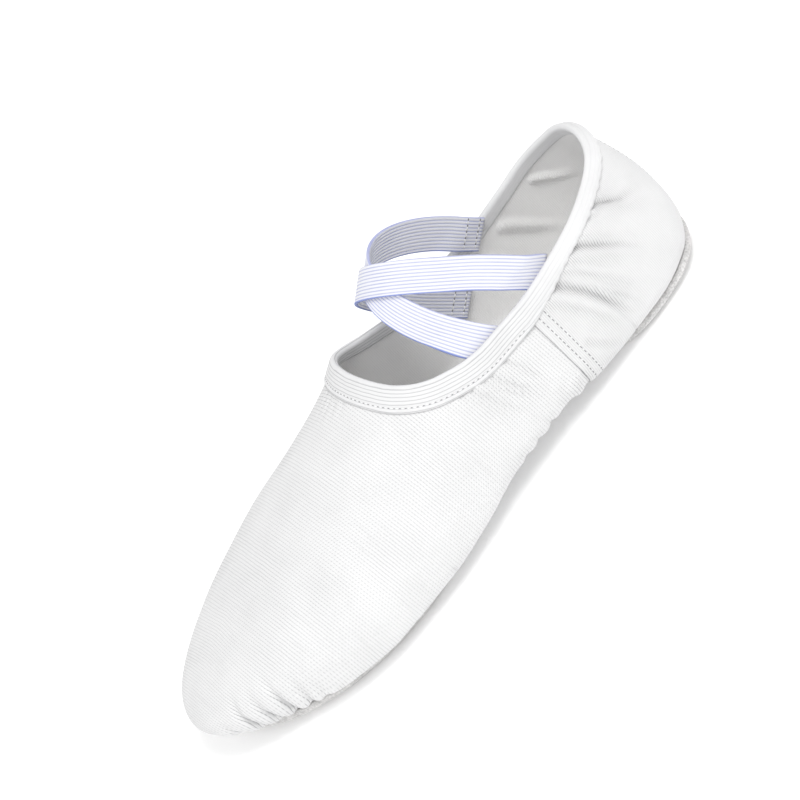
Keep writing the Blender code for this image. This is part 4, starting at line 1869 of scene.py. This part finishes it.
@dataclass
class Strap:
    """Flat ribbed elastic over the instep, sewn inside the collar at both ends."""

    last: Last
    name: str
    direction: int
    lift: float
    width: float = 12 * MM
    thickness: float = 1.2 * MM
    rear_end: float = 58 * MM
    front_end: float = 77 * MM
    crossing: float = 92 * MM
    crown: float = 80 * MM
    tab: float = 11 * MM
    room: float = 3.2 * MM
    settle: float = 10 * MM
    lift_degrees: tuple[float, float] = (20, 45)
    ribs: int = 10
    rib_steps: int = 6
    arch_steps: int = 150
    tab_steps: int = 12
    tab_rows: tuple[int, ...] = (2, 7, -3, -8)
    tab_margin: int = 3
    groove: float = 0.28
    groove_power: float = 0.6

    def __post_init__(self) -> None:
        """Works out the round surface over the instep on which the strap lies."""
        last = self.last
        station = (self.rear_end + self.front_end) / 2
        height = float(last.rim_height(np.array(station)))
        outer = float(last.wall_side(np.array(station), height, 1)) - self.room
        inner = float(last.wall_side(np.array(station), height, -1)) + self.room
        ridge = float(last.section(np.array(self.crossing)).ridge)
        self.foot = np.array([station - last.length / 2, (outer + inner) / 2, height])
        self.half = np.array([0, (outer - inner) / 2, 0])
        crown = np.array([self.crossing - last.length / 2, (outer + inner) / 2 + ridge, self.crown])
        self.rise = crown - self.foot
        axis = np.cross(self.half, self.rise)
        self.axis = axis / np.linalg.norm(axis)

    def point(
        self, degrees: np.ndarray, shift: np.ndarray, lift: np.ndarray, below: np.ndarray
    ) -> np.ndarray:
        """Points on the bow over the instep.

        Args:
            degrees: Angles from the outer end.
            shift: Distances along the bow's axis.
            lift: Distances off the bow.
            below: Lengths below its ends.

        Returns:
            Points, with one more axis than degrees.
        """
        last = self.last
        turn = np.radians(degrees)[..., None]
        tangent = self.rise * np.cos(turn) - self.half * np.sin(turn)
        normal = np.cross(tangent, self.axis)
        normal /= np.linalg.norm(normal, axis=-1, keepdims=True)
        place = self.foot + self.half * np.cos(turn) + self.rise * np.sin(turn)
        place = place + self.axis * shift[..., None] + normal * lift[..., None]
        place = place - self.rise / np.linalg.norm(self.rise) * below[..., None]
        side = np.where(degrees < 90, 1, -1)
        station = place[..., 0] + last.length / 2
        over = place[..., 2] - last.rim_height(np.minimum(station, last.throat))
        wall = last.wall_side(station, place[..., 2], side) - side * self.room
        free = smooth(0, self.settle, over)
        place[..., 1] = wall + (place[..., 1] - wall) * free
        return place

    def build(self, finish: bpy.types.Material, weaves: Weaves) -> None:
        """Builds the strap with its ribs, and sews its tabs.

        Args:
            finish: Material of the elastic.
            weaves: Shared shader effects.
        """
        tabs = np.linspace(self.tab, 0, self.tab_steps + 1)[:-1]
        degrees = np.concatenate([0 * tabs, np.linspace(0, 180, self.arch_steps + 1), 0 * tabs + 180])
        below = np.concatenate([tabs, np.zeros(self.arch_steps + 1), tabs[::-1]])
        count = self.ribs * self.rib_steps
        spread = np.linspace(-0.5, 0.5, count + 1)
        slant = (self.front_end - self.rear_end) / 2
        middle = self.direction * slant * np.cos(np.radians(degrees)) / self.axis[0]
        raised = self.lift * smooth(*self.lift_degrees, np.minimum(degrees, 180 - degrees))
        shift = middle[:, None] + spread * self.width
        wide = [np.broadcast_to(column[:, None], shift.shape) for column in (degrees, raised, below)]
        points = self.point(wide[0], shift, wide[1], wide[2])
        run = running_length(points[:, count // 2])
        front_is_last = points[len(run) // 2, -1, 0] > points[len(run) // 2, 0, 0]
        away = (spread + 0.5) if front_is_last else (0.5 - spread)
        flat = np.stack(np.broadcast_arrays(run[:, None], away * self.width), axis=-1)
        upward = np.array([0.0, 0.0, 1.0])
        strap = sheet_object(self.name, [Patch(points, flat, upward, np.zeros(shift.shape))], finish)
        self.rib(strap)
        seat(strap, "elastic", self.name.replace("elastic", "strap"))
        self.sew(points, weaves)

    def rib(self, strap: bpy.types.Object) -> None:
        """Gives the strap its thickness, thinner in the grooves between its ribs.

        Args:
            strap: The strap's sheet.
        """
        group = strap.vertex_groups.new(name="ribs")
        layer = strap.data.uv_layers["flat"].data
        for loop in strap.data.loops:
            across = layer[loop.index].uv.y / self.width
            rib = abs(math.sin(math.pi * across * self.ribs)) ** self.groove_power
            group.add([loop.vertex_index], 1 - self.groove + self.groove * rib, "REPLACE")
        thicken(strap, self.thickness, 0.0).vertex_group = "ribs"

    def sew(self, points: np.ndarray, weaves: Weaves) -> None:
        """Sews the tabs inside the collar with two short rows.

        Args:
            points: Rows of the strap's points.
            weaves: Shared shader effects.
        """
        stitching = Stitching()
        for row in self.tab_rows:
            path = points[row, self.tab_margin : -self.tab_margin]
            outward = np.array([0.0, -1.0 if row > 0 else 1.0, 0.0])
            normal = np.broadcast_to(outward, path.shape)
            stitching.sew(path + normal * self.thickness / 2, normal)
        stitching.build(self.name, "elastic", weaves)


class PadKind(NamedTuple):
    """Make of a pad: record slot, depth of its lower face under the canvas, thickness, use as a tread."""

    slot: str
    drop: float
    thickness: float
    tread: bool


SOLE = PadKind("suede", 2.6 * MM, 2.5 * MM, True)
INSOLE = PadKind("lining", -1.6 * MM, 1.6 * MM, False)


@dataclass
class Pad:
    """Pad of the split sole or insole, with a rounded rough edge and a row of stitches near it.

    The edge is given by insets in millimetres and levels from the lower face to the upper one.
    """

    last: Last
    name: str
    node: str
    kind: PadKind
    outline: Outline
    rows: int = 110
    columns: int = 64
    edge: tuple[tuple[float, float], ...] = (
        (0.25, 0.07),
        (0.05, 0.22),
        (0.0, 0.5),
        (0.05, 0.78),
        (0.25, 0.93),
    )
    face_inset: float = 0.7 * MM
    rough: float = 0.22 * MM
    rough_scale: float = 700.0
    rough_ease: float = 3 * MM
    stitch_inset: float = 3.2 * MM
    stitch_sink: float = 0.32 * MM
    stitch_samples: int = 260
    groove: float = 0.55 * MM
    groove_width: float = 0.75 * MM

    def stitch_line(self) -> tuple[np.ndarray, np.ndarray]:
        """Works out a line round the pad, inside its edge.

        Returns:
            Stations and distances across the foot of its points.
        """
        inset = self.stitch_inset
        line = self.outline
        inner = line._replace(
            start=line.start + inset,
            end=line.end - inset,
            start_round=line.start_round - inset / 2,
            end_round=line.end_round - inset / 2,
        )
        station = inner.start + (inner.end - inner.start) * eased(self.stitch_samples)
        half = self.last.outline_half(inner, station)
        half = half * (1 - inset / half.max())
        middle = self.last.middle(station)
        across = np.concatenate([middle + half, (middle - half)[::-1]])
        return np.concatenate([station, station[::-1]]), across

    def ring(self) -> tuple[np.ndarray, ...]:
        """Goes once round the pad's section.

        Returns:
            Shares of the half width, insets, levels, and 1 on the edge but 0 on the faces.
        """
        spread = np.linspace(-1, 1, self.columns)
        ring = [(share, self.face_inset, 0.0, 0.0) for share in spread]
        ring += [(1.0, inset * MM, level, 1.0) for inset, level in self.edge]
        ring += [(share, self.face_inset, 1.0, 0.0) for share in spread[::-1]]
        ring += [(-1.0, inset * MM, level, 1.0) for inset, level in self.edge[::-1]]
        return tuple(np.array(column) for column in zip(*ring, ring[0]))

    def build(self, finish: bpy.types.Material, weaves: Weaves) -> None:
        """Builds and seats the pad and its stitches.

        Args:
            finish: Material of the pad.
            weaves: Shared shader effects.
        """
        last = self.last
        line = self.outline
        kind = self.kind
        stations = line.start + (line.end - line.start) * eased(self.rows)
        half = last.outline_half(line, stations)
        middle = last.middle(stations)[:, None]
        share, inset, level, edge = self.ring()
        y = middle + share * np.maximum(half[:, None] - inset, 2 * LEAST)
        station = np.broadcast_to(stations[:, None], y.shape)
        points = last.under_point(station, y, kind.drop - kind.thickness * level)
        seam = self.stitch_line()
        away = np.full(y.shape, np.inf)
        for along, across in zip(*seam):
            away = np.minimum(away, np.hypot(station - along, y - across))
        sewn_face = level == (0.0 if kind.tread else 1.0)
        dip = self.groove * np.exp(-((away / self.groove_width) ** 2)) * sewn_face
        points[..., 2] += dip if kind.tread else -dip
        worn = np.array([[noise.noise(Vector(p) * self.rough_scale) for p in row] for row in points])
        push = np.sign(y - middle) * edge * self.rough * worn
        points[..., 1] += push * smooth(0, self.rough_ease, half)[:, None]
        flat = np.stack([station, y], axis=-1)
        downward = np.array([0.0, 0.0, -1.0])
        pad = sheet_object(self.name, [Patch(points, flat, downward, np.zeros(y.shape))], finish)
        shape = bmesh.new()
        shape.from_mesh(pad.data)
        bmesh.ops.recalc_face_normals(shape, faces=shape.faces)
        shape.to_mesh(pad.data)
        shape.free()
        seat(pad, kind.slot, self.node)
        self.sew(*seam, weaves)

    def sew(self, station: np.ndarray, y: np.ndarray, weaves: Weaves) -> None:
        """Sews round the pad.

        Args:
            station: Stations of the stitches' line.
            y: Its distances across the foot.
            weaves: Shared shader effects.
        """
        kind = self.kind
        depth = np.full_like(station, kind.drop - (0.0 if kind.tread else kind.thickness))
        path = self.last.under_point(station, y, depth)
        out = np.broadcast_to(np.array([0.0, 0.0, -1.0 if kind.tread else 1.0]), path.shape)
        stitching = Stitching(pitch=3.2 * MM, length=2.3 * MM, radius=0.26 * MM)
        stitching.sew(path, out, self.stitch_sink)
        stitching.build(self.name, kind.slot, weaves)


class Light(NamedTuple):
    """Square soft light that faces the shoe: name, place, side of the square and watts."""

    name: str
    place: tuple[float, float, float]
    size: float
    power: float


@dataclass
class Studio:
    """Pale floor, soft light and the camera at the photograph's angle to the shoe."""

    azimuth: float = 4.0
    elevation: float = 30.0
    roll: float = 47.0
    distance: float = 1.4
    sensor: float = 36.0
    picture: int = 800
    pixels_per_mm: float = 2.98
    shift_right: float = -0.0057
    shift_up: float = 0.015
    height: float = 25 * MM
    view_end: float = 20.0
    floor_half: float = 3.0
    floor_drop: float = 0.05 * MM
    floor_colour: Colour = (0.93, 0.93, 0.93)
    floor_glow: float = 0.18
    sky_strength: float = 0.73
    sky_turn: float = 0.07
    sky_side: tuple[float, float, float] = (-0.2, 0.85, 0.48)
    lights: tuple[Light, ...] = (
        Light("key", (-0.35, 0.75, 1.25), 0.55, 9.0),
        Light("toe", (1.1, 0.45, 0.9), 0.9, 3.7),
    )

    def axes(self) -> tuple[Vector, Vector, Vector]:
        """Works out how the camera is turned.

        Returns:
            Its right, up and backward directions.
        """
        a = math.radians(self.azimuth)
        e = math.radians(self.elevation)
        r = math.radians(self.roll)
        back = Vector((math.sin(a) * math.cos(e), math.cos(a) * math.cos(e), math.sin(e)))
        level = Vector((0, 0, 1)).cross(back).normalized()
        upright = back.cross(level)
        right = level * math.cos(r) - upright * math.sin(r)
        up = level * math.sin(r) + upright * math.cos(r)
        return right, up, back

    def camera(self) -> None:
        """Makes the scene's camera."""
        right, up, back = self.axes()
        data = bpy.data.cameras.new("camera")
        data.sensor_width = self.sensor
        data.lens = self.sensor * self.distance * self.pixels_per_mm / MM / self.picture
        data.clip_end = self.view_end
        made = bpy.data.objects.new("camera", data)
        aim = Vector((0, 0, self.height)) + right * self.shift_right + up * self.shift_up
        turn = Matrix((right, up, back)).transposed().to_4x4()
        turn.translation = aim + back * self.distance
        made.matrix_world = turn
        bpy.context.scene.collection.objects.link(made)
        bpy.context.scene.camera = made

    def floor(self) -> None:
        """Makes the floor under the shoe."""
        made, _, shader = principled("pale_floor", 0.9, 0.0)
        shader.inputs["Base Color"].default_value = (*self.floor_colour, 1)
        shader.inputs["Emission Color"].default_value = (1, 1, 1, 1)
        shader.inputs["Emission Strength"].default_value = self.floor_glow
        shape = bmesh.new()
        bmesh.ops.create_grid(shape, x_segments=2, y_segments=2, size=self.floor_half)
        bmesh.ops.translate(shape, vec=(0, 0, -self.floor_drop), verts=shape.verts)
        mesh_object("floor", shape, made)

    def shine(self, light: Light) -> None:
        """Makes a light.

        Args:
            light: Its place and strength.
        """
        data = bpy.data.lights.new(light.name, "AREA")
        data.size = light.size
        data.energy = light.power
        made = bpy.data.objects.new(light.name, data)
        place = Vector(light.place)
        turn = place.to_track_quat("Z", "Y").to_matrix().to_4x4()
        turn.translation = place
        made.matrix_world = turn
        bpy.context.scene.collection.objects.link(made)

    def sky(self) -> bpy.types.World:
        """White surroundings, brighter over the outer side of the shoe.

        Returns:
            The world.
        """
        world = bpy.data.worlds.new("studio")
        world.use_nodes = True
        graph = Graph(world.node_tree)
        way = graph.add("ShaderNodeTexCoord").outputs["Generated"]
        toward = graph.add("ShaderNodeVectorMath", {0: way, 1: self.sky_side}, operation="DOT_PRODUCT")
        strength = graph.math("MULTIPLY_ADD", toward.outputs["Value"], self.sky_turn, self.sky_strength)
        background = world.node_tree.nodes["Background"]
        background.inputs["Color"].default_value = (1, 1, 1, 1)
        graph.put(background.inputs["Strength"], strength)
        return world

    def build(self) -> None:
        """Makes the camera, the floor and the lights."""
        self.camera()
        self.floor()
        bpy.context.scene.world = self.sky()
        for light in self.lights:
            self.shine(light)
        bpy.context.scene.view_settings.view_transform = "Standard"
        bpy.context.scene.view_settings.look = "None"


HEEL_SOLE = Outline(3.8 * MM, 56 * MM, 0.80, 15 * MM, 22 * MM)
FORE_SOLE = Outline(128 * MM, 230 * MM, 0.77, 34 * MM, 22 * MM)
HEEL_INSOLE = Outline(8 * MM, 53 * MM, 0.74, 16 * MM, 20 * MM)
FORE_INSOLE = Outline(132 * MM, 224 * MM, 0.72, 30 * MM, 22 * MM)


def main() -> None:
    """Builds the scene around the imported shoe."""
    logging.basicConfig(level=logging.INFO, format="%(name)s: %(message)s")
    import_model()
    weaves = Weaves()
    last = Last()
    canvas = Canvas(last)
    canvas.build(weaves)
    Binding(last).build(weaves)
    Seams(last).build(canvas, weaves)
    elastic = ELASTIC.material(weaves)
    Strap(last, "elastic_over", -1, 1.6 * MM).build(elastic, weaves)
    Strap(last, "elastic_under", 1, 0.0).build(elastic, weaves)
    suede = SUEDE.material(weaves)
    cotton = bpy.data.materials[LINING.name]
    for name, node, kind, outline, finish in (
        ("front_sole", "sole_forefoot", SOLE, FORE_SOLE, suede),
        ("heel_sole", "sole_heel", SOLE, HEEL_SOLE, suede),
        ("front_insole", "insole_forefoot", INSOLE, FORE_INSOLE, cotton),
        ("heel_insole", "insole_heel", INSOLE, HEEL_INSOLE, cotton),
    ):
        Pad(last, name, node, kind, outline).build(finish, weaves)
    Studio().build()


if __name__ == "__main__":
    main()
